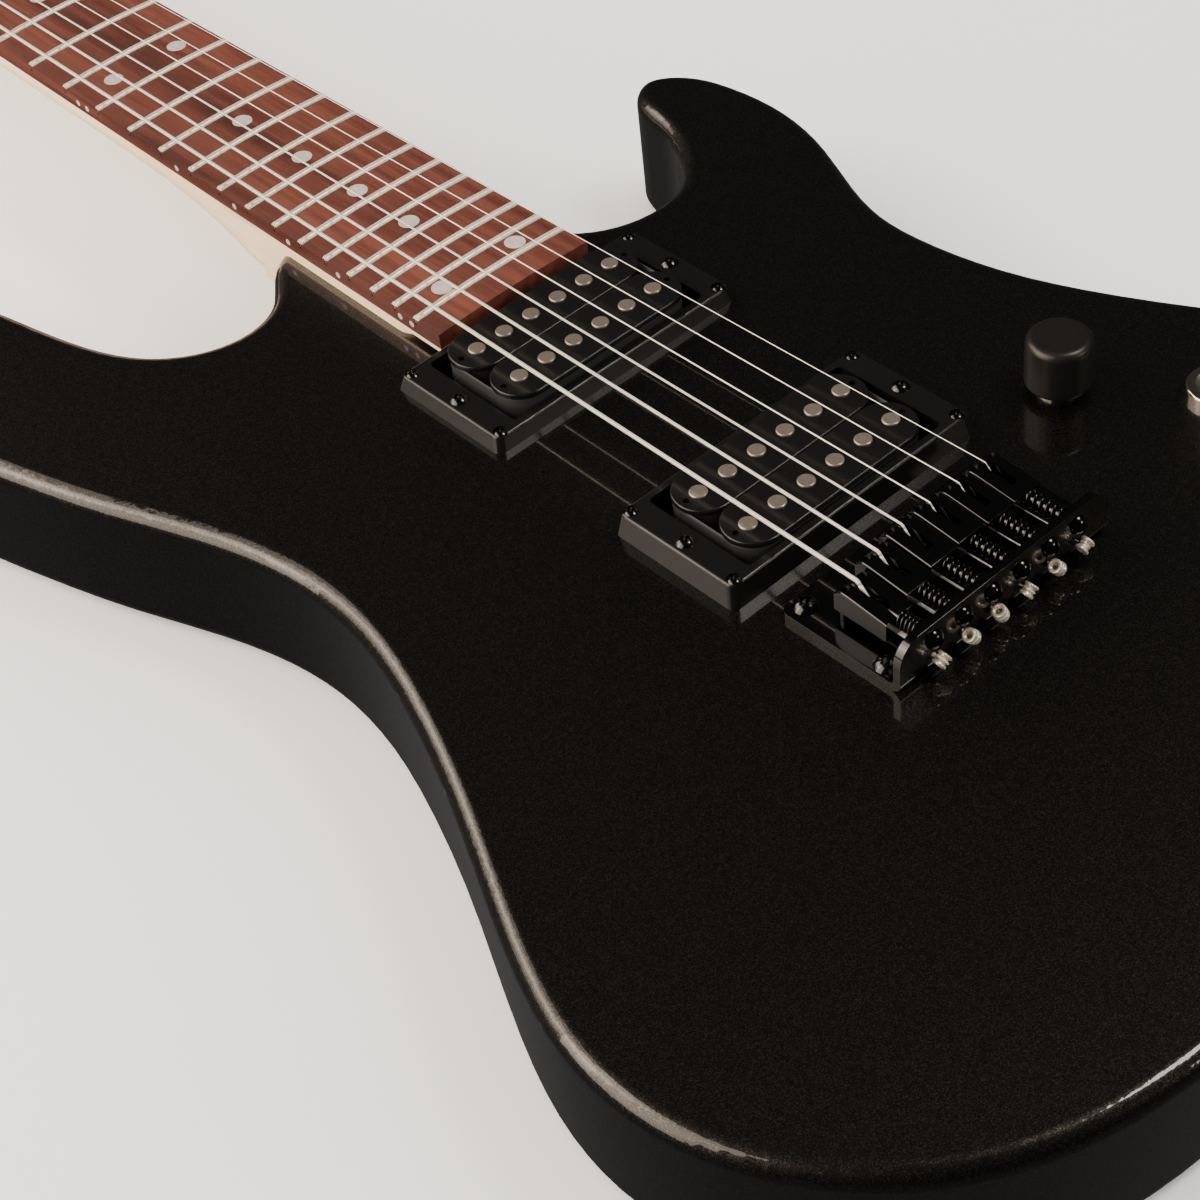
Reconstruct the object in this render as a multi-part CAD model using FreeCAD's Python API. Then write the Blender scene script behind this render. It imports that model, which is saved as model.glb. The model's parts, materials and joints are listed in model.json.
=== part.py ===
import FreeCAD, Part
import math
import os

# Solid body electric guitar with a bolt-on neck, a fixed bridge and two twin-coil pickups.
# Millimetres.  The origin is on the flat back, on the centre line, under the end of the
# vibrating length.  +X runs to the headstock, +Y to the bass side, +Z out of the front.

V = FreeCAD.Vector
X = V(1, 0, 0)
Y = V(0, 1, 0)
Z = V(0, 0, 1)

# ---------------------------------------------------------------- driving dimensions
BODY_T = 42.0                  # body thickness
EDGE_R = 5.0                   # round-over on the body's edges
SCALE = 647.7                  # vibrating length
FRETS = 24
NUT_HALF = 21.5                # half width of the neck at the nut
END_HALF = 28.0                # half width of the neck at the end of the fretboard
BOARD_END = 151.5              # x of the fretboard's end over the body
BOARD_R = 400.0                # crown radius of the fretboard
BOARD_TOP = BODY_T + 9.3       # height of the crown line
BOARD_T = 6.0
NECK_TOP = BOARD_TOP - BOARD_T
POCKET_Z = 26.0                # floor of the neck pocket
HEEL_END = 163.0
FRET_H = 1.0
FRET_W = 2.4

STRING_R = [0.13, 0.17, 0.22, 0.33, 0.46, 0.58]       # strings 1 (treble) to 6 (bass)
BRIDGE_PITCH = 10.45
NUT_PITCH = 7.0
BREAK_X = [0.7, 0.2, 0.5, 0.1, -1.6, -4.4]            # crest of each saddle
BREAK_Z = [13.3, 13.8, 14.3, 14.4, 13.9, 13.4]        # string height over the body

PLATE_T = 2.3                  # bridge sheet
PLATE_HALF = 38.0
PLATE_FRONT = 11.0
WALL_X = -26.6                 # front face of the bridge's rear wall
WALL_TOP = 15.5
SADDLE_L = 17.0
SADDLE_W = 10.0
SADDLE_H = 7.0
SLOT_HALF = 1.1                # half width of a saddle's string slot
SLOT_L = 9.5
TUNE_Z = BODY_T + 10.2         # height of the intonation screws
TAIL_Z = BODY_T + 4.9          # height of the string holes

NECK_PU_X = 129.8
BRIDGE_PU_X = 41.5
PU_ROW = 17.7                  # distance between the two rows of poles
RING_X = 43.5
RING_Y = 89.3
RING_CORNER = (18.5, 40.9)     # screws of a ring, from its middle
LUG_Y = 39.7                   # height screws, from the middle of the pickup
PU_FLOOR = 22.0                # floor of the pickup cavities
LUG_Z = 26.0                   # top of the lug that a height screw lifts
BOBBIN_R = 8.7
BOBBIN_HALF = 33.0
POLE_R = 2.5

VOLUME = V(15.4, -72.3, 0)
TONE = V(-48.0, -117.0, 0)
SWITCH = V(-17.0, -98.0, 0)
LEVER_PIVOT = 38.0             # height of the switch lever's ball
CAVITY_R = 19.0
CAVITY_TOP = BODY_T - 6.0      # the controls hang from this ceiling
SHAFT_R = 3.0                  # shaft of a potentiometer
SHAFT_END = 30.0
POT_NECK_R = 4.7
KNOB_R = 9.0
KNOB_LOW = BODY_T + 2.4        # underside of a knob
KNOB_TOP = BODY_T + 17.8
KNOB_SHOULDER = 2.3            # rounding of its top edge
KNOB_FOOT = 1.4                # rounding of its bottom edge
SWITCH_NECK_R = 5.9
LEVER_BALL_R = 4.3
JACK = V(-70.0, -158.0, 21.0)  # mouth of the output jack
JACK_PLATE_Y = -155.5          # face that the jack plate lies on
JACK_SCREW_X = 13.5            # its screws stand this far to either side

HEAD_TOP = 39.0                # face of the headstock
HEAD_T = 14.0
POST_FIRST = V(684.0, 20.6, 0)
POST_PITCH = V(24.0, -7.0, 0)
POST_R = 3.0
WIND_Z = 45.6                  # height at which the string meets its post
TREE_Z = 46.2                  # height of the strings under a string tree
TUNER_Z = 18.5                 # height of the tuner worms

GAP = 0.05                     # clearance around a screw or a seated piece
TRIM_R = 1.1                   # thread radius of the small trim screws
WOOD_R = 1.6                   # of the bridge and strap screws
NECK_BOLT_R = 2.2
HEAD_SCREW_R = 0.9             # of the screws in the headstock

os.makedirs("parts", exist_ok=True)


# ---------------------------------------------------------------- helpers
def save(name, shapes):
    solids = [s for shape in shapes for s in shape.Solids]
    shape = solids[0] if len(solids) == 1 else Part.makeCompound(solids)
    for solid in solids:
        if not solid.isValid() or solid.Volume <= 0:
            print("BAD SOLID in", name)
    shape.exportStep("parts/%s.step" % name)
    print("%-24s %3d solids %12.1f mm3" % (name, len(solids), shape.Volume))


def cyl(radius, height, base, axis=Z):
    return Part.makeCylinder(radius, height, base, axis)


def tube(outer, inner, height, base, axis=Z):
    return cyl(outer, height, base, axis).cut(cyl(inner, height, base, axis))


def box(x0, x1, y0, y1, z0, z1):
    return Part.makeBox(x1 - x0, y1 - y0, z1 - z0, V(x0, y0, z0))


def round_box(x0, x1, y0, y1, z0, z1, corner):
    solid = box(x0, x1, y0, y1, z0, z1)
    uprights = [e for e in solid.Edges if e.BoundBox.ZLength > z1 - z0 - 0.01]
    return solid.makeFillet(corner, uprights)


def stadium(start, end, radius, z0, z1):
    """Slab with round ends between two points of the plan."""
    along = (end - start).normalize()
    side = Z.cross(along) * radius
    cap = along * radius
    a, b = start + side, end + side
    c, d = end - side, start - side
    wire = Part.Wire([
        Part.makeLine(a, b),
        Part.Arc(b, end + cap, c).toShape(),
        Part.makeLine(c, d),
        Part.Arc(d, start - cap, a).toShape(),
    ])
    slab = Part.Face(wire).extrude(V(0, 0, z1 - z0))
    slab.translate(V(0, 0, z0))
    return slab


def smooth_outline(points, z0, z1):
    curve = Part.BSplineCurve()
    curve.interpolate([V(x, y, z0) for x, y in points], PeriodicFlag=True)
    return Part.Face(Part.Wire(curve.toShape())).extrude(V(0, 0, z1 - z0))


def polygon(points, z0, z1):
    wire = Part.makePolygon([V(x, y, z0) for x, y in points + points[:1]])
    return Part.Face(wire).extrude(V(0, 0, z1 - z0))


def profile_along_y(points, y0, y1):
    wire = Part.makePolygon([V(x, y0, z) for x, z in points + points[:1]])
    return Part.Face(wire).extrude(V(0, y1 - y0, 0))


def spin(points, base, axis):
    """Turned piece: (radius, height) points revolved about axis through base."""
    wire = Part.makePolygon([V(r, 0, h) for r, h in points + points[:1]])
    solid = Part.Face(wire).revolve(V(0, 0, 0), Z, 360)
    solid.Placement = FreeCAD.Placement(base, FreeCAD.Rotation(Z, axis))
    return solid


def edges_at(solid, height):
    return [e for e in solid.Edges
            if abs(e.BoundBox.ZMin - height) < 0.01 and abs(e.BoundBox.ZMax - height) < 0.01]


def cross_screw(seat, axis, shank_r, length, head_r, head_h):
    """Screw with a domed, cross-recessed head whose underside lies at seat."""
    dome_r = (head_r ** 2 + head_h ** 2) / (2 * head_h)
    head = Part.makeSphere(dome_r, V(0, 0, head_h - dome_r)).common(cyl(head_r, head_h, V(0, 0, 0)))
    slot = head_r * 0.55
    for turn in (0, 90):
        bar = box(-slot, slot, -0.17 * head_r, 0.17 * head_r, 0.35 * head_h, head_h + 1)
        bar.rotate(V(0, 0, 0), Z, turn)
        head = head.cut(bar)
    screw = head.fuse(cyl(shank_r, length, V(0, 0, -length)))
    screw.Placement = FreeCAD.Placement(seat, FreeCAD.Rotation(Z, axis))
    return screw


def wire_run(points, radius, bend, wound_round=None):
    """Round wire along straight runs joined by tangent arcs, cut at both ends.

    Where wound_round names an upright axis, the wire ends in most of a turn about it."""
    edges = []
    at = points[0]
    for before, corner, after in zip(points, points[1:], points[2:]):
        into = (corner - before).normalize()
        out = (after - corner).normalize()
        turn = into.getAngle(out)
        reach = min(0.45 * (corner - before).Length, 0.45 * (after - corner).Length,
                    bend * math.tan(turn / 2))
        first = corner - into * reach
        last = corner + out * reach
        arc_r = reach / math.tan(turn / 2)
        inward = (out - into).normalize()
        middle = corner + inward * (arc_r / math.cos(turn / 2) - arc_r)
        edges.append(Part.makeLine(at, first))
        edges.append(Part.Arc(first, middle, last).toShape())
        at = last
    edges.append(Part.makeLine(at, points[-1]))
    if wound_round:
        out = points[-1] - wound_round
        quarter, end = [wound_round + FreeCAD.Rotation(Z, a).multVec(out) for a in (150, 325)]
        edges.append(Part.Arc(points[-1], quarter, end).toShape())
    disc = Part.Wire(Part.makeCircle(radius, points[0], points[1] - points[0]))
    return Part.Wire(edges).makePipeShell([disc], True, False)


def string_y(number, pitch):
    return (number - 3.5) * pitch


def fret_x(number):
    return SCALE * 2.0 ** (-number / 12.0)


def half_width(x):
    return NUT_HALF + (END_HALF - NUT_HALF) * (SCALE - x) / (SCALE - BOARD_END)


def board_z(y):
    return BOARD_TOP - BOARD_R + math.sqrt(BOARD_R ** 2 - y ** 2)


# ---------------------------------------------------------------- body
BODY_OUTLINE = [
    (-147, 0), (-144.5, 45), (-138.5, 95), (-127, 121.5), (-106.5, 144), (-79, 158),
    (-48, 160.4), (-12, 149.4), (22, 133.4), (56, 119.6), (84, 111.8), (109, 110),
    (140, 116), (176, 129.6), (208, 139.8), (240, 147), (270, 146), (295, 137),
    (305, 124), (297, 110), (270, 98.5), (240, 91.5), (219, 81.5), (208.5, 68),
    (206.5, 55), (212, 43), (224, 33), (231, 18), (229, 0), (219, -15), (203, -25),
    (185, -30.5), (171, -36), (163, -45), (159, -58), (161.5, -73), (173, -84.5),
    (190, -92.2), (205, -97), (210.4, -105), (204, -115.4), (186.5, -121.7), (166, -122.3),
    (144.6, -117.3), (123.5, -108), (104, -101.5), (84, -101), (60, -105), (35, -114),
    (5, -129), (-28, -146.5), (-60, -156.5), (-84, -157), (-108, -147), (-127, -126.5),
    (-139, -95), (-145, -50),
]
NECK_BOLTS = [(174, -16), (174, 19), (204, -13), (215, 18)]
PU_CENTRES = [NECK_PU_X, BRIDGE_PU_X]
RING_BOLTS = [(sx * RING_CORNER[0], sy * RING_CORNER[1]) for sx in (-1, 1) for sy in (-1, 1)]
BRIDGE_BOLTS = [(6.9, 32.7), (6.9, -32.7), (-21, 34.1), (-21, -34.1)]
COVER_BOLTS = [(28, -52), (-4, -115), (-20, -79), (-65, -130)]
COVER_R = CAVITY_R + 6.9
COVER_TOP = 2.2
STRAP_TAIL = V(-147.0, 0, 21)
STRAP_HORN = V(304.4, 126, 21)
HORN_AXIS = V(0.96, 0.28, 0).normalize()


def heel_plan(slack, z0, z1):
    """Plan of the neck's heel block, which fits the body's pocket."""
    end = HEEL_END - slack
    inner = half_width(HEEL_END) + slack
    outer = half_width(240) + slack
    block = polygon([(end, -inner), (240, -outer), (240, outer), (end, inner)], z0, z1)
    corners = [e for e in block.Edges
               if e.BoundBox.ZLength > z1 - z0 - 0.01 and e.BoundBox.XMax < end + 0.1]
    return block.makeFillet(8, corners)


def cut_screw_holes(body):
    for x in PU_CENTRES:
        for dx, dy in RING_BOLTS:
            body = body.cut(cyl(TRIM_R + GAP, 14, V(x + dx, dy, BODY_T - 13)))
    for x, y in COVER_BOLTS:
        body = body.cut(cyl(TRIM_R + GAP, 14, V(x, y, 0)))
    for x, y in BRIDGE_BOLTS:
        body = body.cut(cyl(WOOD_R + GAP, 23, V(x, y, BODY_T - 22)))
    for x, y in NECK_BOLTS:
        body = body.cut(cyl(NECK_BOLT_R + GAP, POCKET_Z + 2, V(x, y, -1)))
    for side in (-1, 1):
        body = body.cut(cyl(TRIM_R + GAP, 16, V(JACK.x + side * JACK_SCREW_X, -142, JACK.z), -Y))
    body = body.cut(cyl(WOOD_R + GAP, 28, STRAP_TAIL + X * 26, -X))
    return body.cut(cyl(WOOD_R + GAP, 28, STRAP_HORN - HORN_AXIS * 26, HORN_AXIS))


def cut_pickup_cavities(body):
    for x in PU_CENTRES:
        body = body.cut(round_box(x - 19.6, x + 19.6, -36, 36, PU_FLOOR, BODY_T + 1, 4))
        body = body.cut(round_box(x - 6, x + 6, -43.6, 43.6, PU_FLOOR, BODY_T + 1, 1.5))
    inlet = V(0, -72, 27)
    channel = V(NECK_PU_X, -20, 27) - inlet
    return body.cut(cyl(3, channel.Length, inlet, channel))


def cut_control_cavity(body):
    body = body.cut(stadium(VOLUME, TONE, CAVITY_R, 2, CAVITY_TOP))
    body = body.cut(stadium(VOLUME, TONE, COVER_R + 0.1, -1, COVER_TOP + 0.1))
    for spot, neck_r in ((VOLUME, POT_NECK_R), (TONE, POT_NECK_R), (SWITCH, SWITCH_NECK_R)):
        body = body.cut(cyl(neck_r + 0.1, 20, spot + V(0, 0, BODY_T - 10)))
    body = body.cut(box(JACK.x - 17.1, JACK.x + 17.1, -170, JACK_PLATE_Y, 8.9, 33.1))
    return body.cut(cyl(10.5, 36, V(JACK.x, -120, JACK.z), -Y))


def make_body():
    body = smooth_outline(BODY_OUTLINE, 0, BODY_T)
    body = body.makeFillet(EDGE_R, edges_at(body, 0) + edges_at(body, BODY_T))
    body = body.cut(belly_cutter())
    body = body.cut(heel_plan(0.05, POCKET_Z, BODY_T + 1))
    body = body.cut(neck_plate_plan(0.1, -1, 3.2))
    body = cut_pickup_cavities(body)
    body = cut_control_cavity(body)
    body = cut_screw_holes(body)
    body = body.cut([cyl(7.1, 6, STRAP_TAIL, -X), cyl(7.1, 6, STRAP_HORN, HORN_AXIS)])
    save("body", [body])


def belly_cutter():
    """Large leaning cylinder that hollows the back along the bass-side waist."""
    radius = 320.0
    depth = 21.0
    lean = math.atan2(depth, 62)
    centre = V(80, 112, depth - radius / math.cos(lean))
    along = V(0, math.cos(lean), math.sin(lean))
    return cyl(radius, 260, centre - along * 180, along)


def neck_plate_plan(slack, z0, z1):
    corners = [(166, -24), (207, -24), (224, -8), (224, 26), (166, 26)]
    plate = polygon(corners, z0, z1)
    uprights = [e for e in plate.Edges if e.BoundBox.ZLength > z1 - z0 - 0.01]
    plate = plate.makeFillet(5, uprights)
    if slack:
        plate.scale((50 + slack) / 50, V(195, 0, z0))
    return plate


def make_neck_plate():
    plate = neck_plate_plan(0, 0.2, 3.2)
    for x, y in NECK_BOLTS:
        plate = plate.cut(cyl(2.2 + GAP, 5, V(x, y, -1)))
        plate = plate.cut(cyl(4.1, 3, V(x, y, -1)))
    save("neck_plate", [plate])


# ---------------------------------------------------------------- neck and headstock
def neck_section(x, low_y, high_y, top, depth, power):
    """Closed wire: flat top line and a curved back; a larger power squares the back."""
    middle = (low_y + high_y) / 2
    half = (high_y - low_y) / 2
    steps = 14
    back = []
    for i in range(steps + 1):
        angle = math.pi * i / steps
        c, s = math.cos(angle), math.sin(angle)
        y = middle + half * math.copysign(abs(c) ** (2 / power), c)
        back.append(V(x, y, top - depth * s ** (2 / power)))
    back[0] = V(x, high_y, top)
    back[-1] = V(x, low_y, top)
    curve = Part.BSplineCurve()
    curve.interpolate(back)
    return Part.Wire([curve.toShape(), Part.makeLine(back[-1], back[0])])


HEAD_OUTLINE = [
    (666, -14), (674, -24.6), (690, -26.4), (712, -27.2), (745, -28.5), (778, -31.2),
    (803, -36.5), (818, -41.5), (830, -41.5), (837.5, -35), (836.5, -24), (829, -13),
    (818, -5.5), (800, -0.2), (775, 7.2), (745, 16), (715, 25), (697, 30.2), (684, 33),
    (674, 30.5), (666, 14),
]


def make_shaft():
    """Back of the neck from the heel block to the nut."""
    sections = []
    for x, depth, power in ((655, 14.2, 2.3), (560, 14.8, 2.3), (460, 15.3, 2.3), (360, 15.8, 2.3),
                            (305, 16.4, 2.4), (280, 17.2, 2.8), (262, 18.2, 4.0),
                            (250, 19.0, 6.5), (240, 19.2, 9.0)):
        half = half_width(x)
        sections.append(neck_section(x, -half, half, NECK_TOP, depth, power))
    return Part.makeLoft(sections, True, False)


def make_headstock():
    """Headstock with the throat that drops from the nut to its face."""
    half = half_width(655)
    throat = Part.makeLoft([
        neck_section(655, -half, half, NECK_TOP, 14.2, 2.3),
        neck_section(661, -22.4, 23.6, NECK_TOP - 3.8, 12.4, 2.6),
        neck_section(668, -22.6, 26.0, HEAD_TOP - 0.1, 12.9, 3.4),
        neck_section(678, -22.6, 26.5, HEAD_TOP - 1.5, 11.4, 4.0),
    ], True, True)
    low = HEAD_TOP - HEAD_T
    head = throat.fuse(smooth_outline(HEAD_OUTLINE, low, HEAD_TOP)).removeSplitter()
    rims = [e for e in edges_at(head, HEAD_TOP) + edges_at(head, low) if e.BoundBox.XLength > 60]
    return head.makeFillet(2, rims)


def make_neck():
    heel = heel_plan(0, POCKET_Z, NECK_TOP)
    root = HEEL_END + 9
    tongue = polygon([(BOARD_END, -END_HALF), (root, -half_width(root)),
                      (root, half_width(root)), (BOARD_END, END_HALF)], NECK_TOP - 1.3, NECK_TOP)
    neck = heel.fuse(make_shaft()).fuse(tongue).fuse(make_headstock()).removeSplitter()
    for x, y in NECK_BOLTS:
        neck = neck.cut(cyl(2.2 + GAP, 17, V(x, y, POCKET_Z - 1)))
    neck = neck.cut(cyl(3.05, 492, V(172, 0, NECK_TOP - 4.6), X))
    neck = neck.cut(cyl(4.3, 26, V(656, 0, NECK_TOP - 4.6), X))
    for post in post_places():
        neck = neck.cut(cyl(5.05, 30, post + V(0, 0, HEAD_TOP - 20)))
    for spot in head_screw_spots():
        neck = neck.cut(cyl(0.9 + GAP, 9, V(spot.x, spot.y, HEAD_TOP - 8)))
    for post in post_places():
        neck = neck.cut(cyl(0.9 + GAP, 8, tuner_point(post, -8.5, 0, HEAD_TOP - HEAD_T - 0.01)))
    save("neck", [neck])


def make_fretboard():
    plan = polygon([(BOARD_END, -END_HALF), (SCALE, -NUT_HALF), (SCALE, NUT_HALF),
                    (BOARD_END, END_HALF)], NECK_TOP, BOARD_TOP + 1)
    crown = cyl(BOARD_R, SCALE, V(BOARD_END - 50, 0, BOARD_TOP - BOARD_R), X)
    board = plan.common(crown)
    slots = [box(fret_x(n) - 0.3, fret_x(n) + 0.3, -40, 40, board_z(END_HALF) - 1.9, BOARD_TOP + 5)
             for n in range(1, FRETS + 1)]
    holes = [cyl(3.15, 5, V(x, y, board_z(y) - 1.5)) for x, y in face_dots()]
    holes += [cyl(1.0, 5, V(x, half_width(x) - 1.5, NECK_TOP + 2.4), Y) for x in side_dot_places()]
    save("fretboard", [board.cut(slots + holes)])


def face_dots():
    spots = []
    for n in (3, 5, 7, 9, 12, 15, 17, 19, 21, 24):
        x = (fret_x(n) + fret_x(n - 1)) / 2
        offsets = {12: (-12.5, 12.5), 24: (-13.8, 13.8)}.get(n, (0,))
        spots += [(x, y) for y in offsets]
    return spots


def side_dot_places():
    places = []
    for n in (3, 5, 7, 9, 12, 15, 17, 19, 21, 24):
        x = (fret_x(n) + fret_x(n - 1)) / 2
        places += [x - 2.6, x + 2.6] if n in (12, 24) else [x]
    return places


def make_inlay_dots():
    crown = cyl(BOARD_R, SCALE, V(BOARD_END - 50, 0, BOARD_TOP - BOARD_R), X)
    dots = [cyl(3.15, 5, V(x, y, board_z(y) - 1.5)).common(crown) for x, y in face_dots()]
    for x in side_dot_places():
        depth = 1.5
        dots.append(cyl(1.0, depth, V(x, half_width(x) - depth, NECK_TOP + 2.4), Y))
    save("inlay_dots", dots)


def make_fret(number):
    """One fret: a crown and a tang swept round the board's crown radius, ends bevelled."""
    x = fret_x(number)
    half = half_width(x) - 0.15
    sweep = math.degrees(math.asin(half / BOARD_R))
    z = BOARD_TOP
    left, right = V(x - FRET_W / 2, 0, z), V(x + FRET_W / 2, 0, z)
    crown = Part.Arc(left, V(x, 0, z + FRET_H), right).toShape()
    tang = [V(x + 0.28, 0, z), V(x + 0.28, 0, z - 1.4), V(x - 0.28, 0, z - 1.4), V(x - 0.28, 0, z)]
    edges = [crown, Part.makeLine(right, tang[0])]
    edges += [Part.makeLine(a, b) for a, b in zip(tang, tang[1:])]
    edges.append(Part.makeLine(tang[-1], left))
    centre = V(x, 0, z - BOARD_R)
    fret = Part.Face(Part.Wire(edges)).revolve(centre, X, 2 * sweep)
    fret.rotate(centre, X, -sweep)
    for side in (-1, 1):
        edge = V(x, side * half, board_z(half))
        bevel = Part.makeBox(10, 6, 6, V(-5, 0, -0.05))
        bevel.rotate(V(0, 0, 0), X, 30)
        if side < 0:
            bevel.rotate(V(0, 0, 0), Z, 180)
        bevel.translate(edge)
        fret = fret.cut(bevel)
    return fret


def make_frets():
    save("frets", [make_fret(n) for n in range(1, FRETS + 1)])


def nut_height(number):
    return board_z(string_y(number, NUT_PITCH)) + FRET_H + 0.7 + STRING_R[number - 1]


def make_nut():
    nut = box(SCALE, SCALE + 5, -NUT_HALF, NUT_HALF, NECK_TOP, BOARD_TOP + 4)
    nut = nut.common(cyl(BOARD_R, 10, V(SCALE - 1, 0, BOARD_TOP + 2.5 - BOARD_R), X))
    slope = Part.makeBox(12, 60, 6, V(SCALE + 1.5, -30, BOARD_TOP + 2.5))
    slope.rotate(V(SCALE + 1.5, 0, BOARD_TOP + 2.5), Y, 20)
    nut = nut.cut(slope)
    for number in range(1, 7):
        y, z, r = string_y(number, NUT_PITCH), nut_height(number), STRING_R[number - 1] + 0.06
        nut = nut.cut(cyl(r, 8, V(SCALE - 1, y, z), X))
        nut = nut.cut(box(SCALE - 1, SCALE + 6, y - r, y + r, z, z + 5))
    save("nut", [nut])


def make_truss_rod():
    z = NECK_TOP - 4.6
    rod = cyl(3.0, 482, V(174, 0, z), X)
    nut = cyl(4.0, 9, V(656.2, 0, z), X)
    hexagon = [(2.6 * math.cos(math.pi * k / 3), 2.6 * math.sin(math.pi * k / 3)) for k in range(6)]
    key = polygon(hexagon, 0, 6)
    key.Placement = FreeCAD.Placement(V(661, 0, z), FreeCAD.Rotation(Z, X))
    save("truss_rod", [rod, nut.cut(key)])


COVER_SCREWS = [V(676, 0, 0), V(696, 0, 0)]
TREES = [V(712, 0, 0), V(748, -13.8, 0)]
TREE_LOW = TREE_Z + STRING_R[3] + 0.45                # underside of a tree's bar


def head_screw_spots():
    return COVER_SCREWS + TREES


def make_truss_rod_cover():
    cover = stadium(V(674, 0, 0), V(698, 0, 0), 6.5, HEAD_TOP, HEAD_TOP + 1.8)
    cover = cover.makeFillet(0.6, edges_at(cover, HEAD_TOP + 1.8))
    for spot in COVER_SCREWS:
        cover = cover.cut(cyl(HEAD_SCREW_R + GAP, 5, spot + V(0, 0, HEAD_TOP - 1)))
    save("truss_rod_cover", [cover])


def make_headstock_screws():
    r = HEAD_SCREW_R
    screws = [cross_screw(s + V(0, 0, HEAD_TOP + 1.8), Z, r, 8, 1.9, 1.0) for s in COVER_SCREWS]
    screws += [cross_screw(s + V(0, 0, TREE_LOW + 1.5), Z, r, 16, 1.7, 1.0) for s in TREES]
    for post in post_places():
        spot = tuner_point(post, -8.5, 0, HEAD_TOP - HEAD_T - 1.2)
        screws.append(cross_screw(spot, -Z, r, 8, 1.8, 1.0))
    save("headstock_screws", screws)


# ---------------------------------------------------------------- tuning machines
POST_ALONG = V(POST_PITCH.x, POST_PITCH.y, 0).normalize()
POST_OUT = Z.cross(POST_ALONG)
WHEEL_R = 4.4
WORM_R = 2.3
WORM_OFF = WHEEL_R + WORM_R + 0.3


def post_places():
    """Post axes in the order of strings 1 to 6."""
    return [POST_FIRST + POST_PITCH * (6 - n) for n in range(1, 7)]


def tuner_point(post, along, out, z):
    spot = post + POST_ALONG * along + POST_OUT * out
    return V(spot.x, spot.y, z)


def tuner_box(post, a0, a1, o0, o1, z0, z1):
    solid = box(a0, a1, o0, o1, z0, z1)
    turn = math.degrees(math.atan2(POST_ALONG.y, POST_ALONG.x))
    solid.rotate(V(0, 0, 0), Z, turn)
    solid.translate(V(post.x, post.y, 0))
    return solid


def make_housing(post):
    top = HEAD_TOP - HEAD_T
    shell = tuner_box(post, -5.8, 10.4, -7.5, 9.5, TUNER_Z - 6, top)
    shell = shell.makeFillet(1.5, [e for e in shell.Edges if e.BoundBox.ZMax < top - 0.01])
    ear = tuner_box(post, -11.5, -5.8, -3, 3, top - 1.2, top)
    shell = shell.fuse(ear)
    shell = shell.cut(cyl(WHEEL_R + 0.4, 6, V(post.x, post.y, TUNER_Z - 3)))
    shell = shell.cut(cyl(POST_R + GAP, 20, V(post.x, post.y, TUNER_Z)))
    shell = shell.cut(cyl(2.0 + GAP, 3, V(post.x, post.y, TUNER_Z - 5)))
    shell = shell.cut(cyl(WORM_R + 0.3, 12, tuner_point(post, WORM_OFF, -5.5, TUNER_Z), POST_OUT))
    shell = shell.cut(cyl(1.8 + GAP, 20, tuner_point(post, WORM_OFF, 0, TUNER_Z), POST_OUT))
    return shell.cut(cyl(HEAD_SCREW_R + GAP, 9, tuner_point(post, -8.5, 0, top - 4)))


def make_bushing(post):
    ring = tube(5.0, POST_R + GAP, HEAD_T - 1, V(post.x, post.y, HEAD_TOP - HEAD_T + 1))
    flange = tube(6.8, POST_R + GAP, 1.6, V(post.x, post.y, HEAD_TOP))
    crown = tube(5.6, POST_R + GAP, 1.4, V(post.x, post.y, HEAD_TOP + 1.6))
    return ring.fuse([flange, crown]).removeSplitter()


def make_post(post):
    low = TUNER_Z
    shape = [(0, low - 4.6), (1.95, low - 4.6), (1.95, low + 2.3), (POST_R, low + 2.3), (POST_R, 43),
             (2.5, 44.2), (2.5, 47.2), (POST_R, 48.6), (POST_R, 52), (POST_R - 0.6, 52.6), (0, 52.6)]
    pin = spin(shape, V(post.x, post.y, 0), Z)
    wheel = tube(WHEEL_R, 1.95, 4.4, V(post.x, post.y, low - 2.2))
    return [pin, wheel]


def make_button(post):
    worm = cyl(WORM_R, 10.6, tuner_point(post, WORM_OFF, -4.8, TUNER_Z), POST_OUT)
    stem = cyl(1.8, 16, tuner_point(post, WORM_OFF, 5.6, TUNER_Z), POST_OUT)
    grip = cyl(8.0, 6.5, tuner_point(post, WORM_OFF, 15.2, TUNER_Z), POST_OUT)
    flat = tuner_box(post, WORM_OFF - 12, WORM_OFF + 12, 10, 30, TUNER_Z - 4.5, TUNER_Z + 4.5)
    wide = tuner_box(post, WORM_OFF - 8.1, WORM_OFF + 8.1, 10, 30, TUNER_Z - 9, TUNER_Z + 9)
    grip = grip.common(flat).common(wide)
    grip = grip.makeFillet(1.2, grip.Edges)
    grip = grip.cut(cyl(1.8, 20, tuner_point(post, WORM_OFF, 5.6, TUNER_Z), POST_OUT))
    return [worm.fuse(stem).removeSplitter(), grip]


def make_tuners():
    save("tuner_housings", [make_housing(p) for p in post_places()])
    save("tuner_bushings", [make_bushing(p) for p in post_places()])
    for number, post in enumerate(post_places(), 1):
        save("tuner_post_%d" % number, make_post(post))
        save("tuner_button_%d" % number, make_button(post))


def make_string_trees():
    trees = []
    for spot in TREES:
        tree = cyl(2.0, TREE_LOW - HEAD_TOP, V(spot.x, spot.y, HEAD_TOP))
        bar = round_box(spot.x - 3, spot.x + 3, spot.y - 6.3, spot.y + 6.3, TREE_LOW, TREE_LOW + 1.5, 1.5)
        tree = tree.fuse(bar).removeSplitter()
        trees.append(tree.cut(cyl(HEAD_SCREW_R + GAP, 12, V(spot.x, spot.y, HEAD_TOP))))
    save("string_trees", trees)


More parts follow.
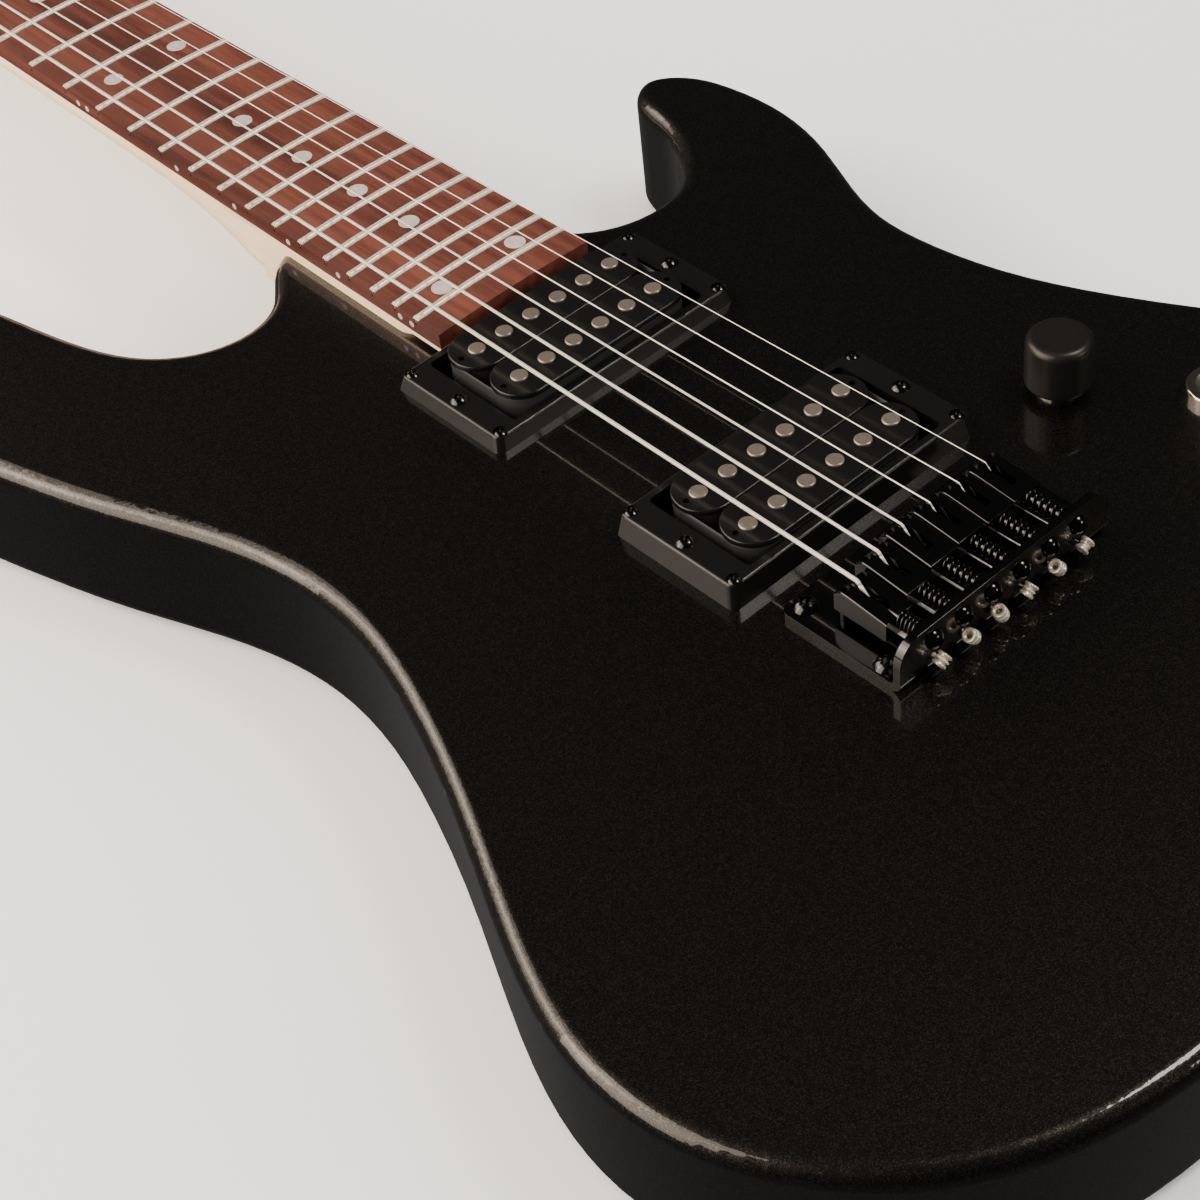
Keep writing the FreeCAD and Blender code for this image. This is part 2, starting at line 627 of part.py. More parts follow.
# ---------------------------------------------------------------- bridge
def make_bridge_plate():
    t = PLATE_T
    back = WALL_X - t
    bend = 3.2
    low, top = BODY_T, BODY_T + WALL_TOP
    inner = bend - t
    corner = V(WALL_X + inner, 0, low + bend)
    diagonal = math.sqrt(0.5)
    edges = [
        Part.makeLine(V(PLATE_FRONT, 0, low), V(corner.x, 0, low)),
        Part.Arc(V(corner.x, 0, low), corner - V(bend, 0, bend) * diagonal,
                 V(back, 0, corner.z)).toShape(),
        Part.makeLine(V(back, 0, corner.z), V(back, 0, top)),
        Part.makeLine(V(back, 0, top), V(WALL_X, 0, top)),
        Part.makeLine(V(WALL_X, 0, top), V(WALL_X, 0, corner.z)),
        Part.Arc(V(WALL_X, 0, corner.z), corner - V(inner, 0, inner) * diagonal,
                 V(corner.x, 0, low + t)).toShape(),
        Part.makeLine(V(corner.x, 0, low + t), V(PLATE_FRONT, 0, low + t)),
        Part.makeLine(V(PLATE_FRONT, 0, low + t), V(PLATE_FRONT, 0, low)),
    ]
    plate = Part.Face(Part.Wire(edges)).extrude(V(0, 2 * PLATE_HALF, 0))
    plate.translate(V(0, -PLATE_HALF, 0))
    lobes = [e for e in plate.Edges if e.BoundBox.XLength > t - 0.01
             and e.BoundBox.YLength < 0.01 and e.BoundBox.ZMin > top - 0.01]
    plate = plate.makeFillet(7, lobes)
    fronts = [e for e in plate.Edges if e.BoundBox.ZLength > t - 0.01
              and e.BoundBox.XMin > PLATE_FRONT - 0.01]
    plate = plate.makeFillet(3, fronts)
    for number in range(1, 7):
        y = string_y(number, BRIDGE_PITCH)
        plate = plate.cut(cyl(1.5 + GAP, 12, V(WALL_X - 6, y, TUNE_Z), X))
        plate = plate.cut(cyl(1.3, 12, V(WALL_X - 6, y, TAIL_Z), X))
    for x, y in BRIDGE_BOLTS:
        plate = plate.cut(cyl(WOOD_R + GAP, 12, V(x, y, BODY_T - 1)))
    save("bridge_plate", [plate])


def string_top(number):
    return BODY_T + BREAK_Z[number - 1]


def make_saddle(number):
    """Block with a crowned front, a slot for the string and two height screws."""
    y = string_y(number, BRIDGE_PITCH)
    crest = BREAK_X[number - 1]
    r = STRING_R[number - 1]
    top = string_top(number) - 1.35 * r - 0.04
    front, back = crest + 3.2, crest + 3.2 - SADDLE_L
    side = SADDLE_W / 2
    low = top - SADDLE_H
    outline = [(front, low), (front, top - 1.6), (crest + 0.9, top), (crest - 0.9, top),
               (back, top - 1.4), (back, low)]
    block = profile_along_y(outline, y - side, y + side)
    sides = [e for e in block.Edges if e.BoundBox.YLength < 0.01 and e.BoundBox.ZMax > top - 1.7
             and e.BoundBox.ZMin > low + 0.5]
    block = block.makeFillet(0.6, sides)
    block = block.cut(box(crest - SLOT_L, crest, y - SLOT_HALF, y + SLOT_HALF, low - 1, top + 2))
    block = block.cut(cyl(1.5 + GAP, 14, V(back - 1, y, TUNE_Z), X))
    screws = []
    for offset in (-3.1, 3.1):
        at = V(crest + 1.4, y + offset, 0)
        block = block.cut(cyl(1.25, 30, at + V(0, 0, BODY_T)))
        foot = BODY_T + PLATE_T + 0.08
        grub = cyl(1.25, top - 0.9 - foot, at + V(0, 0, foot))
        socket = polygon([(at.x + 0.75 * math.cos(k * math.pi / 3),
                           at.y + 0.75 * math.sin(k * math.pi / 3)) for k in range(6)],
                         top - 2.2, top)
        screws.append(grub.cut(socket))
    return [block] + screws


def saddle_back(number):
    return BREAK_X[number - 1] + 3.2 - SADDLE_L


def make_intonation_screw(number):
    y = string_y(number, BRIDGE_PITCH)
    back = WALL_X - PLATE_T
    tip = saddle_back(number) + 3.2
    return cross_screw(V(back - 0.1, y, TUNE_Z), -X, 1.5, tip - back + 0.1, 2.7, 1.9)


def make_bridge():
    make_bridge_plate()
    springs = []
    for number in range(1, 7):
        y = string_y(number, BRIDGE_PITCH)
        save("saddle_%d" % number, make_saddle(number))
        save("intonation_screw_%d" % number, [make_intonation_screw(number)])
        length = saddle_back(number) - WALL_X - 0.2
        springs.append(tube(2.5, 1.7, length, V(WALL_X + 0.1, y, TUNE_Z), X))
    save("intonation_springs", springs)
    seat = BODY_T + PLATE_T
    bolts = [cross_screw(V(x, y, seat), Z, WOOD_R, 22, 3.4, 2.0) for x, y in BRIDGE_BOLTS]
    bolts += [cross_screw(V(x, y, 2), -Z, NECK_BOLT_R, 38, 4.0, 1.8) for x, y in NECK_BOLTS]
    bolts.append(cross_screw(STRAP_TAIL - X * 9.0, -X, WOOD_R, 33, 3.2, 1.6))
    bolts.append(cross_screw(STRAP_HORN + HORN_AXIS * 9.0, HORN_AXIS, WOOD_R, 33, 3.2, 1.6))
    save("hardware_screws", bolts)


# ---------------------------------------------------------------- strings
def post_tangent(number):
    post = post_places()[number - 1]
    reach = 2.5 + STRING_R[number - 1] + GAP
    return V(post.x, post.y - reach, WIND_Z)


def string_route(number):
    crest = BREAK_X[number - 1]
    y = string_y(number, BRIDGE_PITCH)
    yn = string_y(number, NUT_PITCH)
    zn = nut_height(number)
    tail = V(WALL_X - PLATE_T - 0.4, y, TAIL_Z)
    points = [tail, V(crest - 8.3, y, TAIL_Z), V(crest, y, string_top(number)),
              V(SCALE + 5, yn, zn)]
    end = post_tangent(number)
    if number <= 4:
        tree_x = TREES[0].x if number > 2 else TREES[1].x
        share = (tree_x - SCALE - 5) / (end.x - SCALE - 5)
        points.append(V(tree_x, yn + share * (end.y - yn), TREE_Z))
    return points + [end - X * 7, end]


def make_strings():
    strings = []
    balls = []
    for number in range(1, 7):
        r = STRING_R[number - 1]
        post = post_places()[number - 1]
        strings.append(wire_run(string_route(number), r, 3 * r, V(post.x, post.y, WIND_Z)))
        y = string_y(number, BRIDGE_PITCH)
        ball = tube(1.95, 0.9, 3.4, V(WALL_X - PLATE_T - 2.4, y - 1.7, TAIL_Z), Y)
        balls.append(ball)
    save("strings", strings)
    save("string_ball_ends", balls)


# ---------------------------------------------------------------- pickups
def pickup_heights(x):
    """Top of the ring and top of the poles."""
    return (BODY_T + 4.6, BODY_T + 9.0) if x == NECK_PU_X else (BODY_T + 7.1, BODY_T + 9.8)


def pole_pitch(x):
    return 10.0 if x == NECK_PU_X else 10.5


def make_ring(x):
    top = pickup_heights(x)[0]
    hx, hy = RING_X / 2, RING_Y / 2
    inset = 1.2
    lower = Part.makePolygon([V(x + a * hx, b * hy, BODY_T) for a, b in
                              ((1, 1), (-1, 1), (-1, -1), (1, -1), (1, 1))])
    upper = Part.makePolygon([V(x + a * (hx - inset), b * (hy - inset), top) for a, b in
                              ((1, 1), (-1, 1), (-1, -1), (1, -1), (1, 1))])
    ring = Part.makeLoft([lower, upper], True, True)
    posts = [e for e in ring.Edges if e.BoundBox.ZLength > 1]
    ring = ring.makeFillet(2.4, posts)
    ring = ring.makeFillet(0.9, edges_at(ring, top))
    ring = ring.cut(round_box(x - 18.1, x + 18.1, -35.4, 35.4, BODY_T - 1, top + 1, 1.5))
    for dx, dy in RING_BOLTS:
        ring = ring.cut(cyl(TRIM_R + GAP, 20, V(x + dx, dy, BODY_T - 5)))
        ring = ring.cut(cyl(2.1, 2, V(x + dx, dy, top - 0.6)))
    for side in (-1, 1):
        ring = ring.cut(cyl(1.3 + GAP, 20, V(x, side * LUG_Y, BODY_T - 5)))
    return ring


def bobbin_centres(x):
    return (x - PU_ROW / 2, x + PU_ROW / 2)


def pole_spots(x):
    return [V(c, string_y(n, pole_pitch(x)), 0) for c in bobbin_centres(x) for n in range(1, 7)]


def slab(x, half_len, radius, z0, z1):
    return stadium(V(x, radius - half_len, 0), V(x, half_len - radius, 0), radius, z0, z1)


def make_bobbin(x, centre):
    top = pickup_heights(x)[1] - 0.5
    upper = slab(centre, BOBBIN_HALF, BOBBIN_R, top - 1.6, top)
    upper = upper.makeFillet(0.5, edges_at(upper, top))
    lower = slab(centre, BOBBIN_HALF, BOBBIN_R, 37.8, 39.0)
    core = slab(centre, 29.0, 3.4, 39.0, top - 1.6)
    bobbin = upper.fuse([lower, core]).removeSplitter()
    for spot in pole_spots(x):
        bobbin = bobbin.cut(cyl(POLE_R + GAP, 30, spot + V(0, 0, 30)))
    for side in (-1, 1):
        bobbin = bobbin.cut(cyl(0.9, 3, V(centre, side * 30.6, top - 2)))
    return bobbin


def make_coil(x, centre):
    top = pickup_heights(x)[1] - 2.2
    outer = slab(centre, 32.2, 8.0, 39.1, top)
    return outer.cut(slab(centre, 29.1, 3.5, 39.0, top + 1))


def make_base(x):
    sheet = 1.3
    floor = round_box(x - 17.6, x + 17.6, -34, 34, 33.0, 33.0 + sheet, 1.5)
    parts = []
    for side in (-1, 1):
        y0, y1 = sorted((side * 32.7, side * 34))
        parts.append(box(x - 5, x + 5, y0, y1, LUG_Z, 33.1))
        y0, y1 = sorted((side * 32.7, side * 42.8))
        parts.append(box(x - 5, x + 5, y0, y1, LUG_Z - sheet, LUG_Z))
    base = floor.fuse(parts).removeSplitter()
    for side in (-1, 1):
        base = base.cut(cyl(1.25 + GAP, 5, V(x, side * LUG_Y, LUG_Z - 3)))
    return base


def make_pickups():
    rings, bobbins, poles, bases, coils, bolts, springs = [], [], [], [], [], [], []
    for x in PU_CENTRES:
        ring_top, pole_top = pickup_heights(x)
        rings.append(make_ring(x))
        bases.append(make_base(x))
        bases.append(box(x - 5.8, x + 5.8, -31, 31, 34.3, 37.7))
        for centre in bobbin_centres(x):
            bobbins.append(make_bobbin(x, centre))
            coils.append(make_coil(x, centre))
        for spot in pole_spots(x):
            pole = cyl(POLE_R, pole_top - 34.4, spot + V(0, 0, 34.4))
            reduced = pole.cut(box(x - 5.85, x + 5.85, -40, 40, 34, 37.75))
            poles.append(reduced.makeFillet(0.4, edges_at(reduced, pole_top)))
        for side in (-1, 1):
            seat = V(x, side * LUG_Y, ring_top)
            bolts.append(cross_screw(seat, Z, 1.25, ring_top - PU_FLOOR - 0.6, 2.6, 1.3))
            springs.append(tube(2.3, 1.5, BODY_T - LUG_Z - 0.2, V(x, side * LUG_Y, LUG_Z + 0.1)))
    save("pickup_rings", rings)
    save("pickup_bobbins", bobbins)
    save("pickup_poles", poles)
    save("pickup_bases", bases)
    save("pickup_coils", coils)
    save("pickup_height_screws", bolts)
    save("pickup_height_springs", springs)


# ---------------------------------------------------------------- controls
def make_knob(spot):
    """Knob and the potentiometer shaft that turns with it."""
    knob = cyl(KNOB_R, KNOB_TOP - KNOB_LOW, spot + V(0, 0, KNOB_LOW))
    knob = knob.makeFillet(KNOB_SHOULDER, edges_at(knob, KNOB_TOP))
    knob = knob.makeFillet(KNOB_FOOT, edges_at(knob, KNOB_LOW))
    shaft_top = KNOB_TOP - 4
    knob = knob.cut(cyl(SHAFT_R, shaft_top - KNOB_LOW + 1, spot + V(0, 0, KNOB_LOW - 1)))
    knob = knob.cut(cyl(6.6, 2.0, spot + V(0, 0, KNOB_LOW - 0.1)))
    shaft = cyl(SHAFT_R, shaft_top - SHAFT_END, spot + V(0, 0, SHAFT_END))
    return [knob, shaft]


def make_pot(spot):
    can = cyl(12, 10, spot + V(0, 0, CAVITY_TOP - 10.5))
    neck = cyl(POT_NECK_R, 9.5, spot + V(0, 0, CAVITY_TOP - 0.5))
    pot = can.fuse(neck).removeSplitter()
    return pot.cut(cyl(SHAFT_R + GAP, 30, spot + V(0, 0, SHAFT_END - 0.1)))


def make_switch_case():
    frame = box(SWITCH.x - 6, SWITCH.x + 6, SWITCH.y - 9, SWITCH.y + 9, 15, CAVITY_TOP)
    collar = cyl(SWITCH_NECK_R, 8.4, SWITCH + V(0, 0, CAVITY_TOP - 0.1))
    case = frame.fuse(collar).removeSplitter()
    case = case.cut(cyl(LEVER_BALL_R + 0.1, 25, SWITCH + V(0, 0, 26)))
    return case.cut(cyl(0.9 + GAP, 12.4, SWITCH + V(0, -6.2, LEVER_PIVOT), Y))


def make_lever():
    """Toggle lever with its ball and the pivot pin through the ball."""
    outline = [(0, 30), (1.6, 30), (1.6, 46), (1.9, 52), (2.9, 57), (3.1, 59.5), (2.3, 61.3), (0, 62)]
    ball = Part.makeSphere(LEVER_BALL_R, SWITCH + V(0, 0, LEVER_PIVOT))
    pin = cyl(0.9, 11.0, SWITCH + V(0, -5.5, LEVER_PIVOT), Y)
    return spin(outline, SWITCH, Z).fuse([ball, pin]).removeSplitter()


def make_controls():
    save("volume_knob", make_knob(VOLUME))
    save("tone_knob", make_knob(TONE))
    save("control_casings", [make_pot(VOLUME), make_pot(TONE), make_switch_case()])
    nuts = [tube(6.0, POT_NECK_R + GAP, 2.0, spot + V(0, 0, BODY_T)) for spot in (VOLUME, TONE)]
    ring = tube(8.5, SWITCH_NECK_R + GAP, 3.0, SWITCH + V(0, 0, BODY_T))
    rim = [e for e in edges_at(ring, BODY_T + 3.0) if e.BoundBox.XLength > 16]
    nuts.append(ring.makeFillet(0.8, rim))
    nuts.append(tube(6.4, 4.75, 2.0, V(JACK.x, JACK_PLATE_Y - 2, JACK.z), -Y))
    save("panel_nuts", nuts)
    save("switch_lever", [make_lever()])


def make_jack():
    barrel = cyl(7.5, 24, V(JACK.x, JACK_PLATE_Y + 0.1, JACK.z), Y)
    thread = cyl(4.7, 4.4, V(JACK.x, -159.8, JACK.z), Y)
    jack = barrel.fuse(thread).removeSplitter()
    jack = jack.cut(cyl(3.25, 27, V(JACK.x, -159.8, JACK.z), Y))
    save("output_jack", [jack])
    plate = box(JACK.x - 17, JACK.x + 17, JACK_PLATE_Y - 2, JACK_PLATE_Y, 9, 33)
    plate = plate.makeFillet(2.5, [e for e in plate.Edges if e.BoundBox.YLength > 1.9])
    plate = plate.cut(cyl(4.7 + GAP, 9, V(JACK.x, -162, JACK.z), Y))
    for side in (-1, 1):
        plate = plate.cut(cyl(TRIM_R + GAP, 9, V(JACK.x + side * JACK_SCREW_X, -162, JACK.z), Y))
    save("jack_plate", [plate])


def make_cover():
    cover = stadium(VOLUME, TONE, COVER_R, 0.2, COVER_TOP)
    for x, y in COVER_BOLTS:
        cover = cover.cut(cyl(TRIM_R + GAP, 5, V(x, y, -1)))
        cover = cover.cut(cyl(2.2, 0.9, V(x, y, 0.1)))
    save("control_cover", [cover])


def make_trim_screws():
    screws = []
    for x in PU_CENTRES:
        top = pickup_heights(x)[0]
        for dx, dy in RING_BOLTS:
            screws.append(cross_screw(V(x + dx, dy, top - 0.6), Z, TRIM_R, 12, 2.0, 0.9))
    for x, y in COVER_BOLTS:
        screws.append(cross_screw(V(x, y, 1.0), -Z, TRIM_R, 11, 2.0, 0.8))
    for side in (-1, 1):
        seat = V(JACK.x + side * JACK_SCREW_X, JACK_PLATE_Y - 2, JACK.z)
        screws.append(cross_screw(seat, -Y, TRIM_R, 14, 2.0, 0.9))
    save("trim_screws", screws)


def make_strap_buttons():
    shape = [(1.65, 0), (7.0, 0), (7.0, 1.0), (4.2, 3.0), (4.2, 6.0), (7.6, 8.2), (7.6, 9.6),
             (6.9, 10.2), (3.6, 10.2), (3.6, 9.0), (1.65, 9.0)]
    save("strap_buttons", [spin(shape, STRAP_TAIL, -X), spin(shape, STRAP_HORN, HORN_AXIS)])


def make_wiring():
    """Lead from the controls towards the jack, and the tone capacitor."""
    route = [V(-45, -100, 12), V(-40, -118, 9), V(-52, -127, 12), V(-62, -130, 16)]
    leads = [wire_run(route, 1.1, 12)]
    capacitor = cyl(3.2, 9, V(-34, -104, 14), V(0.7, 0.7, 0))
    save("wiring", leads + [capacitor])


make_body()
make_neck_plate()
make_neck()
make_fretboard()
make_inlay_dots()
make_frets()
make_nut()
make_truss_rod()
make_truss_rod_cover()
make_headstock_screws()
make_tuners()
make_string_trees()
make_bridge()
make_strings()
make_pickups()
make_controls()
make_jack()
make_cover()
make_trim_screws()
make_strap_buttons()
make_wiring()
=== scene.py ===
import json
import math

import bmesh
import bpy
from mathutils import Matrix, Vector
from mathutils.kdtree import KDTree


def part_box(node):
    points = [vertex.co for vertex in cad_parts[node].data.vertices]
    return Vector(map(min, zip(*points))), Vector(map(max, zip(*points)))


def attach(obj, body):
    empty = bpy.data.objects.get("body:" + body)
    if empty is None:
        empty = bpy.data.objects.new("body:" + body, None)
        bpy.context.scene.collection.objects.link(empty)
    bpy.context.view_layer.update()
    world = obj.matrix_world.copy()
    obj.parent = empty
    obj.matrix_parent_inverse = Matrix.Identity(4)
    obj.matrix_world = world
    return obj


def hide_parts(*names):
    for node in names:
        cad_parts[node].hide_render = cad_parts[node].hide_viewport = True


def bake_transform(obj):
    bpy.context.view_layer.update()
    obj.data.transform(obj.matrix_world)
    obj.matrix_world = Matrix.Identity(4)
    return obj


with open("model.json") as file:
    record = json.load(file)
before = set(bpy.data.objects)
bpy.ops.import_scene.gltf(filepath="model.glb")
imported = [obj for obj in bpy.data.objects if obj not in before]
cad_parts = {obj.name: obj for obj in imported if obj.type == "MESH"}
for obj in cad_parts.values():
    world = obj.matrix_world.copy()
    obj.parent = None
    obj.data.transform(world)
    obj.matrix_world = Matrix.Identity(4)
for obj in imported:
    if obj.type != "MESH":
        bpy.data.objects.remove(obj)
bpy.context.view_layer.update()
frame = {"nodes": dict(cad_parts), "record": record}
NODES = frame["nodes"]

# ------------------------------------------------------------------ driving values, metres
CAMERA_PLACE = (-0.29786, 0.32807, 0.46814)
CAMERA_TARGET = (0.04282, 0.06651, 0.05014)
CAMERA_ROLL = -7.564           # degrees
LENS = 73.47                   # millimetres
SENSOR = 36.0                  # millimetres
SHIFT = (-0.0023, -0.0060)     # shares of the picture's width
AMBIENT = 1.3                  # light of the pale room
MIRRORED_ABOVE = 0.03          # what of it shows in gloss and metal, from above
MIRRORED_BELOW = 0.085         # and from the floor
HORIZON = (-0.35, 0.05)        # the one passes into the other between these upward parts of a direction
WARM = (1.0, 0.86, 0.73)
LIGHTS = (                     # name, place, target, size, watts, colour
    ("key", (1.16, 0.80, 0.91), (0.05, 0.05, 0.04), (1.2, 0.3), 8, WARM),
    ("key_glow", (1.16, 0.80, 0.91), (0.05, 0.05, 0.04), (1.4, 0.8), 13, WARM),
    ("key_halo", (1.16, 0.80, 0.91), (0.05, 0.05, 0.04), (1.6, 1.4), 11, WARM),
    ("side", (0.44, 1.30, 0.79), (-0.05, 0.10, 0.04), (0.9, 1.0), 12, WARM),
    ("side_glow", (0.44, 1.30, 0.79), (-0.05, 0.10, 0.04), (1.2, 1.7), 22, WARM),
    ("back", (-1.12, -0.62, 0.60), (0.0, 0.0, 0.04), (0.35, 0.25), 2.2, WARM),
    ("rim", (-0.385, -0.58, 1.296), (0.05, 0.0, 0.04), (0.4, 0.4), 8, (1.0, 0.93, 0.84)),
)
FLOOR_HALF = 6.0
FLOOR_DROP = 0.0005            # from the flat back down to the floor

BODY_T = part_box("body")[1][2]
EDGE_R = 0.005                 # round-over of the body's edges
EDGE_STEPS = 24                # samples of the round-over's middle along each facet of the outline
EDGE_SLACK = 0.001             # share of EDGE_R that a point may lie above or below the quarter round
EDGE_FIT = 0.08                # how far its squared distance from the middle may differ from 1
FACET = 0.0011                 # longest side of a facet left on the round-over
ON_LEVEL = 1e-5                # a point this near a height lies at it
FLAT_LEVEL = 1e-6              # and this near the flat face, on that face

SHEET_BREAK = 0.0003           # broken edge of the bridge plate
BLOCK_BREAK = 0.00015          # and of a saddle
SHARP_EDGE = 50.0              # degrees: edges at least this sharp are broken
SHARP_SHADE = 18.0             # degrees: edges at least this sharp stay crisp in the shading

TAPE_T = 0.00022
TAPE_CORNER = 0.0082
TAPE_LOW = 0.0391
TAPE_LEVELS = 8
TAPE_BULGE = 0.00012           # how far the wrap stands out half way up
TAPE_RIPPLE = 0.00008
TAPE_WAVE = 2.4                # radians of ripple from one level to the next
TAPE_INSIDE = 0.00002          # gap between the coil and the wrap

STRING_R = (0.00013, 0.00017, 0.00022, 0.00033, 0.00046, 0.00058)
FIRST_WOUND = 4
STRING_SIDES = 14
STRING_STEPS = 60              # cuts along a string from its saddle to the nut
DIVE_STEPS = 8
SADDLE_FRONT = 0.0032          # from a saddle's crest to its front face
CREST_SEAT = 1.35              # height of a string's middle over the crest, in string radii
CREST_GAP = 0.00004
TAIL_DROP = 0.0083             # from a crest back to the foot of the string's dive
TAIL_START = 0.0012            # from the crest to where the dive's own piece ends
CREST_RUN = 0.004              # from the crest to the end of the bend over it
CREST_BEND = 0.0008            # how far the bend over the crest reaches
NUT_BEND = 0.0015
TAIL_BEND = 0.0012
NUT_BEFORE = 0.002             # from the nut back to the start of the bend over it
NUT_PITCH = 0.0070
NUT_ACTION = 0.0017            # bottom of a string over the board at the nut
BOARD_RADIUS = 0.4
POST_WAIST = 0.0025
POST_GAP = 0.00005
POST_RUN = 0.007               # straight run of a string before its post
WIND_PITCH = 2.05              # from one turn on the post to the next, in string radii
WIND_STEPS = 32                # points to a turn
WIND_SIDES = 10
PLAIN_TURNS = 3.2
WOUND_TURNS = 2.2
WALL_X = -0.0266               # front of the bridge's rear wall
WALL_BACK = -0.0289            # where the ball ends rest
BALL_GAP = 0.0004              # from there to the string's end, inside the ball
TAIL_Z = 0.0469
TUNE_Z = 0.0522
WIND_Z = 0.0456
TREE_Z = 0.0462
TREE_X = {1: 0.748, 2: 0.748, 3: 0.712, 4: 0.712}

BALL_PROFILE = [(-1.7, 0.95), (-1.7, 1.7), (-1.5, 1.92), (-1.05, 1.92), (-0.75, 1.5), (-0.3, 1.3),
                (0.3, 1.3), (0.75, 1.5), (1.05, 1.92), (1.5, 1.92), (1.7, 1.7), (1.7, 0.95)]
BALL_UNIT = 0.001              # the profile is in millimetres: along the spool, out from its axis
BALL_SIDES = 36
BALL_TURNS = (-25, 50, -38, 62, 48, -32)       # how each ball end lies, degrees about its string
LOOP_GROOVE = 0.00135          # radius of the groove that the string's end lies in
LOOP_WIRE = 0.0003             # thickest radius of that end
LOOP_STEPS = 24
LOOP_SIDES = 10
LOOP_LEAN = 0.0003             # how far the loop leans along the spool

SPRING_TURNS = 6.5
SPRING_WIRE = 0.00036
SPRING_R = 0.0021
SPRING_STEPS = 20              # points to a turn
SPRING_SIDES = 8


# ------------------------------------------------------------------ node helpers
def new_material(name):
    """A new material with its nodes, links and shader."""
    material = bpy.data.materials.new(name)
    material.use_nodes = True
    nodes = material.node_tree.nodes
    shader = nodes["Principled BSDF"]
    return material, nodes, material.node_tree.links, shader


def object_place(nodes, links, scale=(1, 1, 1)):
    """Object coordinates, stretched by scale."""
    place = nodes.new("ShaderNodeTexCoord")
    mapping = nodes.new("ShaderNodeMapping")
    mapping.inputs["Scale"].default_value = scale
    links.new(place.outputs["Object"], mapping.inputs["Vector"])
    return mapping.outputs["Vector"]


def noise(nodes, links, where, scale, detail=3.0, rough=0.55):
    """Uneven grey between 0 and 1."""
    node = nodes.new("ShaderNodeTexNoise")
    node.inputs["Scale"].default_value = scale
    node.inputs["Detail"].default_value = detail
    node.inputs["Roughness"].default_value = rough
    links.new(where, node.inputs["Vector"])
    return node.outputs["Fac"]


def ramp(nodes, links, value, stops):
    """Colour that runs through the stops as the value rises."""
    node = nodes.new("ShaderNodeValToRGB")
    bar = node.color_ramp
    while len(bar.elements) < len(stops):
        bar.elements.new(0.5)
    for element, (at, colour) in zip(bar.elements, stops):
        element.position = at
        element.color = (*colour, 1)
    links.new(value, node.inputs["Fac"])
    return node.outputs["Color"]


def spread(nodes, links, value, low, high):
    """The value, from 0 to 1, stretched from low to high."""
    node = nodes.new("ShaderNodeMapRange")
    node.inputs["To Min"].default_value = low
    node.inputs["To Max"].default_value = high
    links.new(value, node.inputs["Value"])
    return node.outputs["Result"]


def bump(nodes, links, shader, height, distance):
    """Fine relief, distance deep."""
    node = nodes.new("ShaderNodeBump")
    node.inputs["Distance"].default_value = distance
    links.new(height, node.inputs["Height"])
    links.new(node.outputs["Normal"], shader.inputs["Normal"])


# ------------------------------------------------------------------ materials
def lacquer():
    """Black metallic lacquer: fine warm flake under a clear gloss coat."""
    material, nodes, links, shader = new_material("black_lacquer")
    flake = nodes.new("ShaderNodeTexVoronoi")
    flake.inputs["Scale"].default_value = 4200.0
    links.new(object_place(nodes, links), flake.inputs["Vector"])
    glint = ramp(nodes, links, flake.outputs["Color"], [(0.0, (0.010, 0.0092, 0.0085)),
                                                       (0.6, (0.021, 0.019, 0.0172)),
                                                       (1.0, (0.085, 0.074, 0.064))])
    links.new(glint, shader.inputs["Base Color"])
    shader.inputs["Metallic"].default_value = 1.0
    shader.inputs["Roughness"].default_value = 0.38
    shader.inputs["Coat Weight"].default_value = 1.0
    shader.inputs["Coat Roughness"].default_value = 0.06
    shader.inputs["Coat IOR"].default_value = 1.5
    return material


def maple():
    """Pale maple under a satin finish, with fine grain along the neck."""
    material, nodes, links, shader = new_material("maple")
    grain = noise(nodes, links, object_place(nodes, links, (0.05, 1, 1)), 260, 4)
    figure = noise(nodes, links, object_place(nodes, links, (1, 0.3, 0.3)), 60, 2)
    colour = ramp(nodes, links, grain, [(0.3, (0.90, 0.64, 0.40)), (0.7, (0.97, 0.76, 0.51))])
    links.new(colour, shader.inputs["Base Color"])
    links.new(spread(nodes, links, figure, 0.34, 0.48), shader.inputs["Roughness"])
    bump(nodes, links, shader, grain, 0.00004)
    return material


def rosewood():
    """Oiled reddish-brown board with dark pores along the grain."""
    material, nodes, links, shader = new_material("rosewood")
    long_place = object_place(nodes, links, (0.06, 1, 1))
    grain = noise(nodes, links, long_place, 300, 5, 0.65)
    bands = noise(nodes, links, object_place(nodes, links, (0.025, 1, 1)), 90, 2)
    mixed = nodes.new("ShaderNodeMath")
    mixed.operation = "MULTIPLY_ADD"
    mixed.inputs[1].default_value = 0.55
    links.new(bands, mixed.inputs[0])
    scaled = nodes.new("ShaderNodeMath")
    scaled.operation = "MULTIPLY"
    scaled.inputs[1].default_value = 0.5
    links.new(grain, scaled.inputs[0])
    links.new(scaled.outputs[0], mixed.inputs[2])
    colour = ramp(nodes, links, mixed.outputs[0], [(0.30, (0.028, 0.0068, 0.0048)),
                                                  (0.48, (0.078, 0.0185, 0.0110)),
                                                  (0.66, (0.150, 0.0400, 0.0210))])
    links.new(colour, shader.inputs["Base Color"])
    links.new(spread(nodes, links, grain, 0.38, 0.62), shader.inputs["Roughness"])
    bump(nodes, links, shader, grain, 0.00008)
    return material


